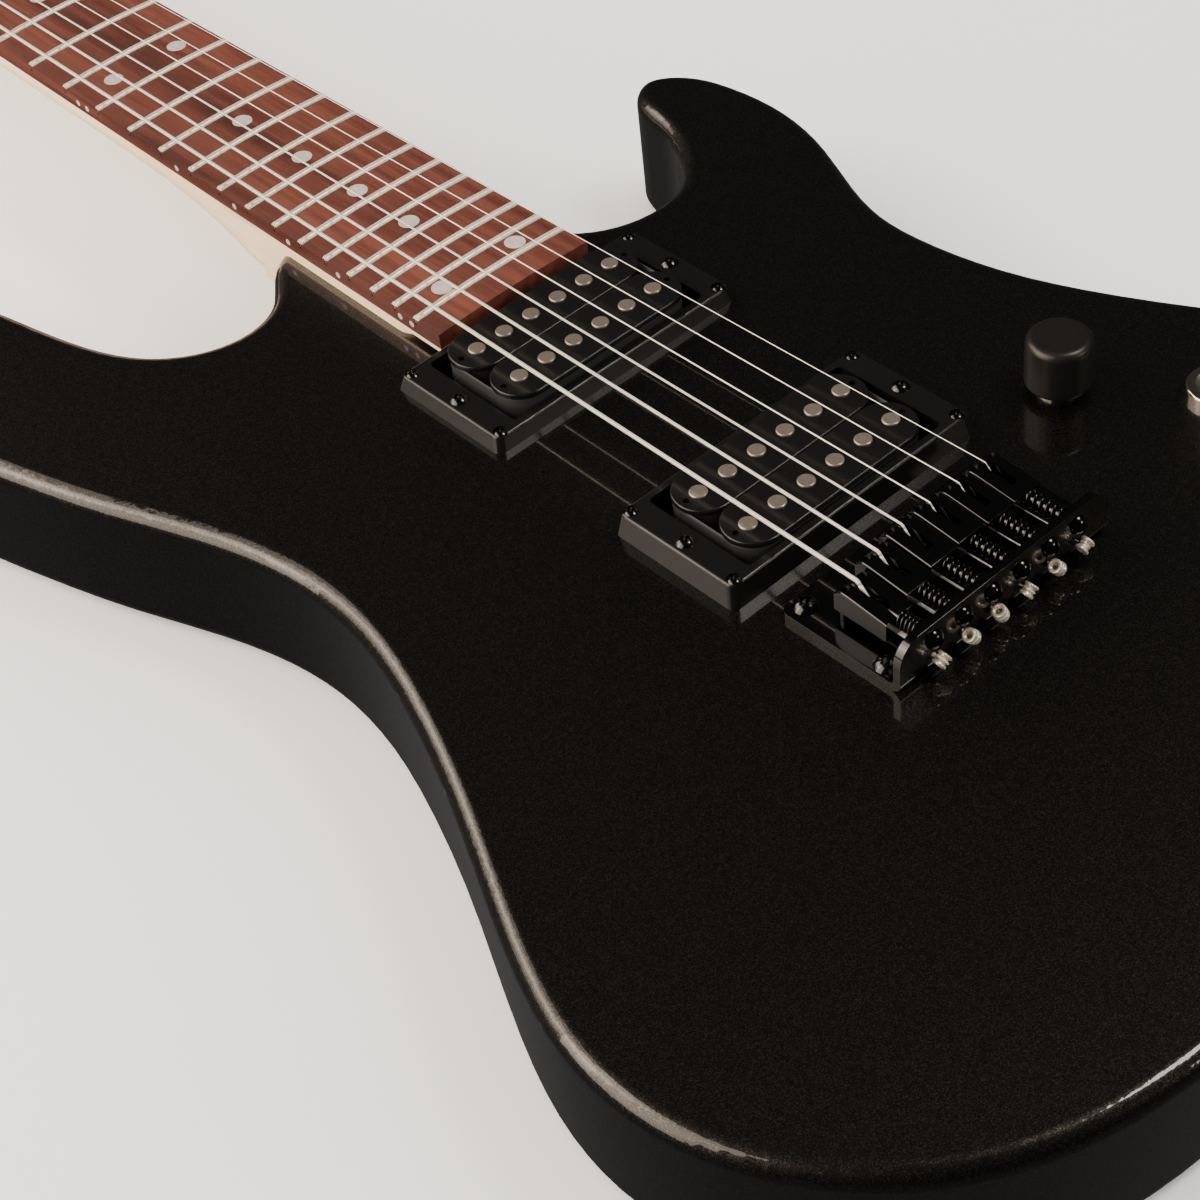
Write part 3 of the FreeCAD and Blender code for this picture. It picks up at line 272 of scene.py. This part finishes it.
def metal(name, colour, rough, marks=0.04, scale=900, stretch=(1, 1, 1), metallic=1.0):
    """Metal with faint handling marks in its gloss."""
    material, nodes, links, shader = new_material(name)
    wear = noise(nodes, links, object_place(nodes, links, stretch), scale, 4)
    darker = tuple(c * 0.86 for c in colour)
    links.new(ramp(nodes, links, wear, [(0.3, darker), (0.7, colour)]), shader.inputs["Base Color"])
    links.new(spread(nodes, links, wear, rough - marks, rough + marks), shader.inputs["Roughness"])
    shader.inputs["Metallic"].default_value = metallic
    bump(nodes, links, shader, wear, 0.000004)
    return material


def plastic(name, colour, rough, grain=0.00001, scale=2400):
    """Moulded plastic with a fine even texture."""
    material, nodes, links, shader = new_material(name)
    speck = noise(nodes, links, object_place(nodes, links), scale, 3)
    darker = tuple(c * 0.8 for c in colour)
    links.new(ramp(nodes, links, speck, [(0.35, darker), (0.65, colour)]), shader.inputs["Base Color"])
    links.new(spread(nodes, links, speck, rough - 0.05, rough + 0.05), shader.inputs["Roughness"])
    bump(nodes, links, shader, speck, grain)
    return material


def black_plating():
    """Black chrome: dark metal under a clear gloss coat."""
    material = metal("black_plating", (0.021, 0.0205, 0.020), 0.22, 0.05, 500)
    shader = material.node_tree.nodes["Principled BSDF"]
    shader.inputs["Coat Weight"].default_value = 1.0
    shader.inputs["Coat Roughness"].default_value = 0.06
    return material


def wound_string():
    """Bright wrap wire: fine rings across the string."""
    material = metal("wound_string", (0.93, 0.85, 0.74), 0.32, 0.05, 1500, (0.1, 1, 1), 0.55)
    nodes, links = material.node_tree.nodes, material.node_tree.links
    shader = nodes["Principled BSDF"]
    rings = nodes.new("ShaderNodeTexWave")
    rings.bands_direction = "X"
    rings.inputs["Scale"].default_value = 900.0
    place = nodes.new("ShaderNodeTexCoord")
    links.new(place.outputs["Object"], rings.inputs["Vector"])
    bump(nodes, links, shader, rings.outputs["Fac"], 0.00006)
    return material


def make_materials():
    """Every look, by its material slot, and two more for the wound strings and the knobs."""
    return {
        "body_lacquer": lacquer(),
        "maple": maple(),
        "rosewood": rosewood(),
        "fret_wire": metal("fret_wire", (0.80, 0.70, 0.58), 0.30, metallic=0.55),
        "pearloid": plastic("pearl_dot", (0.46, 0.40, 0.365), 0.3, 0.000005, 500),
        "nut_black": plastic("nut_black", (0.02, 0.02, 0.02), 0.3),
        "steel": metal("plain_steel", (0.6, 0.59, 0.57), 0.35),
        "black_metal": black_plating(),
        "black_plastic": plastic("black_plastic", (0.0045, 0.0042, 0.004), 0.25, 0.000003),
        "string_steel": metal("string_steel", (0.95, 0.87, 0.76), 0.28, 0.05, 1500, (0.1, 1, 1), 0.6),
        "wound_string": wound_string(),
        "ball_brass": metal("ball_end", (0.86, 0.76, 0.62), 0.28, metallic=0.75),
        "pole_steel": metal("pole_steel", (0.44, 0.375, 0.32), 0.32, 0.12, 1900, metallic=0.85),
        "knob_satin": metal("knob_satin", (0.050, 0.047, 0.044), 0.36, 0.04, 700, metallic=0.9),
        "coil_tape": plastic("coil_tape", (0.02, 0.02, 0.02), 0.6),
        "nickel": metal("nickel", (0.75, 0.70, 0.62), 0.15),
        "wire_cloth": plastic("wire_cloth", (0.4, 0.33, 0.22), 0.8),
    }


def dress_cad_nodes(materials):
    """Gives each CAD node the material of its slot. The knobs are satin."""
    for part in frame["record"]["subparts"]:
        node = NODES[part["node"]]
        node.data.materials.clear()
        satin = part["node"].endswith("_knob")
        node.data.materials.append(materials["knob_satin" if satin else part["material_slot"]])


# ------------------------------------------------------------------ stage
def add_camera():
    """The eye, from the bass side of the tail, turned a little on its own axis."""
    data = bpy.data.cameras.new("camera")
    data.lens = LENS
    data.sensor_width = SENSOR
    data.shift_x, data.shift_y = SHIFT
    data.clip_start = 0.01
    camera = bpy.data.objects.new("camera", data)
    bpy.context.scene.collection.objects.link(camera)
    place = Vector(CAMERA_PLACE)
    look = (Vector(CAMERA_TARGET) - place).to_track_quat("-Z", "Y").to_matrix()
    roll = Matrix.Rotation(math.radians(CAMERA_ROLL), 3, "Z")
    camera.matrix_world = Matrix.Translation(place) @ (look @ roll).to_4x4()
    bpy.context.scene.camera = camera


def add_light(name, place, target, size, power, colour):
    """A soft rectangular light turned to the target."""
    data = bpy.data.lights.new(name, "AREA")
    data.shape = "RECTANGLE"
    data.size, data.size_y = size
    data.energy = power
    data.color = colour
    light = bpy.data.objects.new(name, data)
    bpy.context.scene.collection.objects.link(light)
    direction = Vector(target) - Vector(place)
    light.rotation_euler = direction.to_track_quat("-Z", "Y").to_euler()
    light.location = place


def add_floor():
    """Plain pale floor, left out of mirrored light."""
    mesh = bpy.data.meshes.new("floor")
    half = FLOOR_HALF
    corners = [(-half, -half, 0), (half, -half, 0), (half, half, 0), (-half, half, 0)]
    mesh.from_pydata(corners, [], [(0, 1, 2, 3)])
    floor = bpy.data.objects.new("floor", mesh)
    bpy.context.scene.collection.objects.link(floor)
    material, _, _, shader = new_material("pale_floor")
    shader.inputs["Base Color"].default_value = (0.92, 0.92, 0.92, 1)
    shader.inputs["Roughness"].default_value = 0.9
    mesh.materials.append(material)
    floor.location.z = -FLOOR_DROP
    floor.visible_glossy = False


def add_world():
    """Even pale light. Gloss and metal see a dim sky over a slightly brighter lower half."""
    world = bpy.data.worlds.new("studio")
    bpy.context.scene.world = world
    world.use_nodes = True
    nodes, links = world.node_tree.nodes, world.node_tree.links
    background = nodes["Background"]
    background.inputs["Color"].default_value = (1.0, 0.97, 0.94, 1)
    direction = nodes.new("ShaderNodeTexCoord")
    parts = nodes.new("ShaderNodeSeparateXYZ")
    links.new(direction.outputs["Generated"], parts.inputs["Vector"])
    mirrored = nodes.new("ShaderNodeMapRange")
    mirrored.inputs["From Min"].default_value = HORIZON[0]
    mirrored.inputs["From Max"].default_value = HORIZON[1]
    mirrored.inputs["To Min"].default_value = MIRRORED_BELOW
    mirrored.inputs["To Max"].default_value = MIRRORED_ABOVE
    links.new(parts.outputs["Z"], mirrored.inputs["Value"])
    path = nodes.new("ShaderNodeLightPath")
    strength = nodes.new("ShaderNodeMapRange")
    strength.inputs["To Min"].default_value = AMBIENT
    links.new(mirrored.outputs["Result"], strength.inputs["To Max"])
    links.new(path.outputs["Is Glossy Ray"], strength.inputs["Value"])
    links.new(strength.outputs["Result"], background.inputs["Strength"])


# ------------------------------------------------------------------ mesh helpers
def mesh_piece(name, points, faces, material, body="root"):
    """A smooth piece that rides on a body, unless body is None."""
    mesh = bpy.data.meshes.new(name)
    mesh.from_pydata([tuple(p) for p in points], [], faces)
    mesh.validate()
    for face in mesh.polygons:
        face.use_smooth = True
    piece = bpy.data.objects.new(name, mesh)
    bpy.context.scene.collection.objects.link(piece)
    mesh.materials.append(MATERIALS[material])
    if body:
        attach(piece, body)
    return piece


def frames_along(path):
    """Two directions across the path at each of its points, with no sudden twist."""
    count = len(path)
    tangents = []
    for i in range(count):
        ahead = path[min(i + 1, count - 1)]
        behind = path[max(i - 1, 0)]
        tangents.append((ahead - behind).normalized())
    up = Vector((0, 0, 1)) if abs(tangents[0].z) < 0.9 else Vector((1, 0, 0))
    across = tangents[0].cross(up).normalized()
    result = []
    for tangent in tangents:
        across = (across - tangent * across.dot(tangent)).normalized()
        result.append((across, tangent.cross(across)))
    return result


def tube_data(path, radius, sides):
    """Points and faces of a round tube along the path, closed at both ends."""
    points, faces = [], []
    for place, (across, over) in zip(path, frames_along(path)):
        for k in range(sides):
            angle = 2 * math.pi * k / sides
            outward = across * (radius * math.cos(angle)) + over * (radius * math.sin(angle))
            points.append(place + outward)
    for i in range(len(path) - 1):
        for k in range(sides):
            a, b = i * sides + k, i * sides + (k + 1) % sides
            faces.append((a, b, b + sides, a + sides))
    faces.append(tuple(reversed(range(sides))))
    faces.append(tuple(range((len(path) - 1) * sides, len(path) * sides)))
    return points, faces


def rounded_path(corners, reach, steps=6):
    """Straight runs whose corners are eased by short curves."""
    path = [corners[0]]
    for before, corner, after in zip(corners, corners[1:], corners[2:]):
        cut = min(reach, 0.45 * (corner - before).length, 0.45 * (after - corner).length)
        first = corner + (before - corner).normalized() * cut
        last = corner + (after - corner).normalized() * cut
        for i in range(steps + 1):
            t = i / steps
            path.append(first * (1 - t) ** 2 + corner * (2 * t * (1 - t)) + last * t ** 2)
    path.append(corners[-1])
    return path


def long_run(start, end, count):
    """A straight run cut into equal lengths."""
    return [start.lerp(end, i / count) for i in range(count + 1)]


# ------------------------------------------------------------------ body
def wall_normals(mesh, level):
    """Outward direction of the wall at each point where the round-over meets it."""
    outward = {}
    for loop in mesh.loops:
        place = mesh.vertices[loop.vertex_index].co
        normal = mesh.corner_normals[loop.index].vector
        if abs(place.z - level) < ON_LEVEL and abs(normal.z) < 0.05:
            outward[loop.vertex_index] = Vector((normal.x, normal.y, 0)).normalized()
    beside = {v: [] for v in outward}
    for a, b in (edge.vertices for edge in mesh.edges):
        if a in outward and b in outward:
            beside[a].append(b)
            beside[b].append(a)
    for v, others in beside.items():
        if len(others) == 2:
            before = mesh.vertices[v].co - mesh.vertices[others[0]].co
            after = mesh.vertices[others[1]].co - mesh.vertices[v].co
            along = before / before.length_squared + after / after.length_squared
            normal = along.cross(Vector((0, 0, 1))).normalized()
            outward[v] = normal if normal.dot(outward[v]) > 0 else -normal
    return outward, beside


def edge_centres(mesh, level):
    """Points along the middle of the round-over that meets the wall at this height."""
    outward, beside = wall_normals(mesh, level)
    centres = []
    for a, others in beside.items():
        for b in others:
            if a < b:
                for i in range(EDGE_STEPS):
                    place = mesh.vertices[a].co.lerp(mesh.vertices[b].co, i / EDGE_STEPS)
                    normal = outward[a].lerp(outward[b], i / EDGE_STEPS).normalized()
                    centres.append(place - normal * EDGE_R)
    tree = KDTree(len(centres))
    for i, place in enumerate(centres):
        tree.insert(place, i)
    tree.balance()
    return tree


def round_normal(place, tree, level, up):
    """Middle and true normal of the round-over at this point, or None away from it."""
    rise = (place.z - level) * up / EDGE_R
    centre = tree.find(Vector((place.x, place.y, level)))[0]
    outward = Vector((place.x - centre.x, place.y - centre.y, 0))
    if not -EDGE_SLACK < rise < 1 + EDGE_SLACK:
        return None
    if abs((outward.length / EDGE_R) ** 2 + rise ** 2 - 1) > EDGE_FIT:
        return None
    angle = math.atan2(rise, outward.length / EDGE_R)
    normal = outward.normalized() * math.cos(angle) + Vector((0, 0, math.sin(angle) * up))
    return centre, normal


def round_faces(work, tree, level, up):
    """Faces of the round-over, with the normal and middle at each of their points."""
    known = {vert: round_normal(vert.co, tree, level, up) for vert in work.verts
             if -EDGE_SLACK < (vert.co.z - level) * up / EDGE_R < 1 + EDGE_SLACK}
    flat_z = level + EDGE_R * up
    faces = [face for face in work.faces if all(known.get(vert) for vert in face.verts)
             and not all(abs(vert.co.z - flat_z) < FLAT_LEVEL for vert in face.verts)]
    return faces, known


def refine_round_edge(work, tree, level, up):
    """Finer facets on the round-over, each point set on the true round."""
    for _ in range(2):
        faces, known = round_faces(work, tree, level, up)
        edges = {edge for face in faces for edge in face.edges if edge.calc_length() > FACET}
        bmesh.ops.subdivide_edges(work, edges=list(edges), cuts=1)
    faces, known = round_faces(work, tree, level, up)
    for vert in {vert for face in faces for vert in face.verts}:
        centre, normal = known[vert]
        vert.co = centre + normal * EDGE_R
    return faces, known


def make_body():
    """The body, with its round-overs in finer facets that are shaded as the true round."""
    mesh = NODES["body"].data.copy()
    kept = mesh.attributes.new("kept_normal", "FLOAT_VECTOR", "CORNER")
    kept.data.foreach_set("vector", [c for corner in mesh.corner_normals for c in corner.vector])
    levels = [(BODY_T - EDGE_R, 1), (EDGE_R, -1)]
    trees = [edge_centres(mesh, level) for level, up in levels]
    work = bmesh.new()
    work.from_mesh(mesh)
    layer = work.loops.layers.float_vector["kept_normal"]
    for tree, (level, up) in zip(trees, levels):
        faces, known = refine_round_edge(work, tree, level, up)
        for face in faces:
            for loop in face.loops:
                loop[layer] = known[loop.vert][1]
    for face in work.faces:
        face.smooth = True
    work.to_mesh(mesh)
    work.free()
    normals = [value.vector.normalized() for value in mesh.attributes["kept_normal"].data]
    mesh.attributes.remove(mesh.attributes["kept_normal"])
    mesh.normals_split_custom_set(normals)
    piece = bpy.data.objects.new("body_shell", mesh)
    bpy.context.scene.collection.objects.link(piece)
    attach(piece, "root")
    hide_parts("body")


# ------------------------------------------------------------------ bridge
def broken_edges(node, name, body, width):
    """A copy of a sheet or block whose sharp edges are broken, so that they catch the light."""
    mesh = NODES[node].data.copy()
    if "custom_normal" in mesh.attributes:
        mesh.attributes.remove(mesh.attributes["custom_normal"])
    work = bmesh.new()
    work.from_mesh(mesh)
    bmesh.ops.remove_doubles(work, verts=work.verts, dist=1e-6)
    bmesh.ops.dissolve_limit(work, angle_limit=math.radians(1), verts=work.verts, edges=work.edges)
    sharp = [edge for edge in work.edges
             if len(edge.link_faces) == 2 and edge.calc_face_angle() > math.radians(SHARP_EDGE)]
    bmesh.ops.bevel(work, geom=sharp, offset=width, segments=2, profile=0.5, affect="EDGES",
                    clamp_overlap=True)
    for face in work.faces:
        face.smooth = True
    work.to_mesh(mesh)
    work.free()
    mesh.set_sharp_from_angle(angle=math.radians(SHARP_SHADE))
    piece = bpy.data.objects.new(name, mesh)
    bpy.context.scene.collection.objects.link(piece)
    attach(piece, body)
    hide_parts(node)


def make_bridge():
    """The plate and the six saddles, with broken edges."""
    broken_edges("bridge_plate", "bridge_sheet", "root", SHEET_BREAK)
    for number in range(1, 7):
        saddle = "saddle_%d" % number
        broken_edges(saddle, saddle + "_block", saddle, BLOCK_BREAK)


# ------------------------------------------------------------------ pickups
def rounded_loop(centre, half_x, half_y, corner, height, steps=10):
    """Points round a rectangle with round corners."""
    points = []
    for k, (sx, sy) in enumerate(((1, 1), (-1, 1), (-1, -1), (1, -1))):
        for i in range(steps + 1):
            angle = math.pi / 2 * (k + i / steps)
            x = centre.x + sx * (half_x - corner) + corner * math.cos(angle)
            y = centre.y + sy * (half_y - corner) + corner * math.sin(angle)
            points.append(Vector((x, y, height)))
    return points


def make_tape(name, low_x, high_x, top):
    """Cloth tape wound round both coils of a pickup."""
    low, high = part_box("pickup_coils")
    centre = Vector(((low_x + high_x) / 2, (low[1] + high[1]) / 2, 0))
    half_x, half_y = (high_x - low_x) / 2, (high[1] - low[1]) / 2
    levels = [TAPE_LOW + (top - TAPE_LOW) * i / TAPE_LEVELS for i in range(TAPE_LEVELS + 1)]
    rings = []
    for i, height in enumerate(levels):
        bulge = TAPE_BULGE * math.sin(math.pi * i / TAPE_LEVELS) + TAPE_RIPPLE * math.sin(TAPE_WAVE * i)
        grow = TAPE_T + bulge
        rings.append(rounded_loop(centre, half_x + grow, half_y + grow, TAPE_CORNER, height))
    for height in (top, TAPE_LOW):
        inner_x, inner_y = half_x + TAPE_INSIDE, half_y + TAPE_INSIDE
        rings.append(rounded_loop(centre, inner_x, inner_y, TAPE_CORNER, height))
    count = len(rings[0])
    points = [place for ring in rings for place in ring]
    faces = []
    for i in range(len(rings)):
        for k in range(count):
            a, b = i * count + k, i * count + (k + 1) % count
            c, d = (a + count) % len(points), (b + count) % len(points)
            faces.append((a, b, d, c))
    mesh_piece(name, points, faces, "coil_tape")


def make_tapes():
    """One wrap for each pickup, below the caps of its two bobbins."""
    coils = NODES["pickup_coils"].data.vertices
    middle_x = sum(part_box("pickup_coils")[i][0] for i in (0, 1)) / 2
    for name, side in (("neck_pickup_tape", 1), ("bridge_pickup_tape", -1)):
        places = [v.co for v in coils if (v.co.x - middle_x) * side > 0]
        low_x = min(place.x for place in places)
        high_x = max(place.x for place in places)
        make_tape(name, low_x, high_x, max(place.z for place in places))


# ------------------------------------------------------------------ strings and springs
def middle(node):
    """Middle of a node's box."""
    low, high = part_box(node)
    return Vector([(a + b) / 2 for a, b in zip(low, high)])


def string_points(number):
    """Crest, nut, tree and post points of one string, from the saddle, nut and post nodes."""
    radius = STRING_R[number - 1]
    low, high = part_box("saddle_%d" % number)
    y = (low[1] + high[1]) / 2
    crest = Vector((high[0] - SADDLE_FRONT, y, high[2] + CREST_SEAT * radius + CREST_GAP))
    nut_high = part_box("nut")[1]
    across = (number - 3.5) * NUT_PITCH
    board_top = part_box("fretboard")[1][2]
    drop = BOARD_RADIUS - math.sqrt(BOARD_RADIUS ** 2 - across ** 2)
    nut = Vector((nut_high[0], across, board_top - drop + NUT_ACTION + radius))
    post = middle("tuner_post_%d" % number)
    side = Vector((post.x, post.y - POST_WAIST - radius - POST_GAP, WIND_Z))
    corners = [crest, nut]
    if number in TREE_X:
        x = TREE_X[number]
        share = (x - nut.x) / (side.x - nut.x)
        corners.append(Vector((x, nut.y + share * (side.y - nut.y), TREE_Z)))
    corners.append(side - Vector((POST_RUN, 0, 0)))
    corners.append(side)
    return corners


def make_string_front(number, look):
    """From just behind the saddle over the nut to the post.
    """
    radius = STRING_R[number - 1]
    corners = string_points(number)
    crest = corners[0]
    first = tail_corners(crest)[2]
    onward = (corners[1] - crest).normalized()
    bend = rounded_path([first, crest, crest + onward * CREST_RUN], CREST_BEND)
    path = bend[:-1] + long_run(bend[-1], corners[1], STRING_STEPS)[:-1]
    path += rounded_path([corners[1] - onward * NUT_BEFORE] + corners[1:], NUT_BEND)[1:]
    points, faces = tube_data(path, radius, STRING_SIDES)
    front = mesh_piece("string_%d" % number, points, faces, look, None)
    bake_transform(front)
    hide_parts("strings")


def tail_corners(crest):
    """From the ball end through the wall, up to just behind the crest."""
    foot = Vector((crest.x - TAIL_DROP, crest.y, TAIL_Z))
    tail_end = Vector((WALL_BACK - BALL_GAP, crest.y, TAIL_Z))
    first = crest + (foot - crest).normalized() * TAIL_START
    return tail_end, foot, first


def make_string_tail(number, look):
    """Dive from the saddle to the bridge wall, and the loop round the ball."""
    radius = STRING_R[number - 1]
    tail_end, foot, first = tail_corners(string_points(number)[0])
    path = rounded_path([tail_end, foot, first], TAIL_BEND)
    dive = long_run(path[-2], path[-1], DIVE_STEPS)
    points, faces = tube_data(path[:-1] + dive[1:], radius, STRING_SIDES)
    end_radius = min(radius, LOOP_WIRE)
    loop_path = loop_round_ball(number, end_radius)
    loop_points, loop_faces = tube_data(loop_path, end_radius, LOOP_SIDES)
    faces += [tuple(v + len(points) for v in face) for face in loop_faces]
    points += loop_points
    tail = mesh_piece("string_%d_tail" % number, points, faces, look, None)
    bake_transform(tail)


def make_string_winding(number, look):
    """Turns of string round the waist of its post, from the top turn down."""
    radius = STRING_R[number - 1]
    post = middle("tuner_post_%d" % number)
    ring = POST_WAIST + radius + POST_GAP
    turns = PLAIN_TURNS if number < FIRST_WOUND else WOUND_TURNS
    coil = []
    for i in range(int(turns * WIND_STEPS) + 1):
        angle = -math.pi / 2 + 2 * math.pi * i / WIND_STEPS
        height = WIND_Z - WIND_PITCH * radius * i / WIND_STEPS
        place = (post.x + ring * math.cos(angle), post.y + ring * math.sin(angle), height)
        coil.append(Vector(place))
    points, faces = tube_data(coil, radius, WIND_SIDES)
    name = "string_%d_winding" % number
    mesh_piece(name, points, faces, look, "tuner_post_%d" % number)


def make_string(number):
    """One string in three pieces: the tail, the long run, and the turns on the post."""
    look = "wound_string" if number >= FIRST_WOUND else "string_steel"
    make_string_front(number, look)
    make_string_tail(number, look)
    make_string_winding(number, look)


def ball_axes(number):
    """Middle of a ball end, its own axis, and the direction across that axis and the string."""
    low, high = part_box("string_ball_ends")
    centre = Vector(((low[0] + high[0]) / 2, middle("saddle_%d" % number).y, TAIL_Z))
    angle = math.radians(BALL_TURNS[number - 1])
    axis = Vector((0, math.cos(angle), math.sin(angle)))
    return centre, axis, Vector((1, 0, 0)).cross(axis)


def make_ball(number):
    """Grooved spool that the end of the string is looped round."""
    centre, axis, across = ball_axes(number)
    ahead = Vector((1, 0, 0))
    points, faces = [], []
    count = len(BALL_PROFILE)
    for k in range(BALL_SIDES):
        angle = 2 * math.pi * k / BALL_SIDES
        outward = ahead * math.cos(angle) + across * math.sin(angle)
        points += [centre + axis * (a * BALL_UNIT) + outward * (r * BALL_UNIT)
                   for a, r in BALL_PROFILE]
    for k in range(BALL_SIDES):
        beside = (k + 1) % BALL_SIDES
        for i in range(count):
            after = (i + 1) % count
            faces.append((k * count + i, k * count + after, beside * count + after, beside * count + i))
    ball = mesh_piece("ball_end_%d" % number, points, faces, "ball_brass")
    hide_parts("string_ball_ends")


def loop_round_ball(number, radius):
    """Path of the string's end round the groove of its ball."""
    centre, axis, across = ball_axes(number)
    reach = LOOP_GROOVE + radius
    path = []
    for i in range(LOOP_STEPS + 1):
        angle = 2 * math.pi * i / LOOP_STEPS
        outward = Vector((1, 0, 0)) * math.cos(angle) + across * math.sin(angle)
        lean = LOOP_LEAN * (2 * i / LOOP_STEPS - 1)
        path.append(centre + outward * reach + axis * lean)
    return path


def make_spring(number):
    """Coil spring on the intonation screw, from the bridge wall to the saddle."""
    low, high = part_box("saddle_%d" % number)
    y = (low[1] + high[1]) / 2
    start, end = WALL_X + SPRING_WIRE, low[0] - SPRING_WIRE
    path = []
    steps = int(SPRING_TURNS * SPRING_STEPS)
    for i in range(steps + 1):
        share = i / steps
        angle = 2 * math.pi * SPRING_TURNS * share
        x = start + (end - start) * share
        path.append(Vector((x, y + SPRING_R * math.cos(angle), TUNE_Z + SPRING_R * math.sin(angle))))
    points, faces = tube_data(path, SPRING_WIRE, SPRING_SIDES)
    name = "intonation_spring_%d" % number
    spring = mesh_piece(name, points, faces, "black_metal", None)
    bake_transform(spring)
    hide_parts("intonation_springs")


add_camera()
add_world()
add_floor()
for light in LIGHTS:
    add_light(*light)

MATERIALS = make_materials()
dress_cad_nodes(MATERIALS)
make_body()
make_bridge()
make_tapes()
for number in range(1, 7):
    make_string(number)
    make_ball(number)
    make_spring(number)
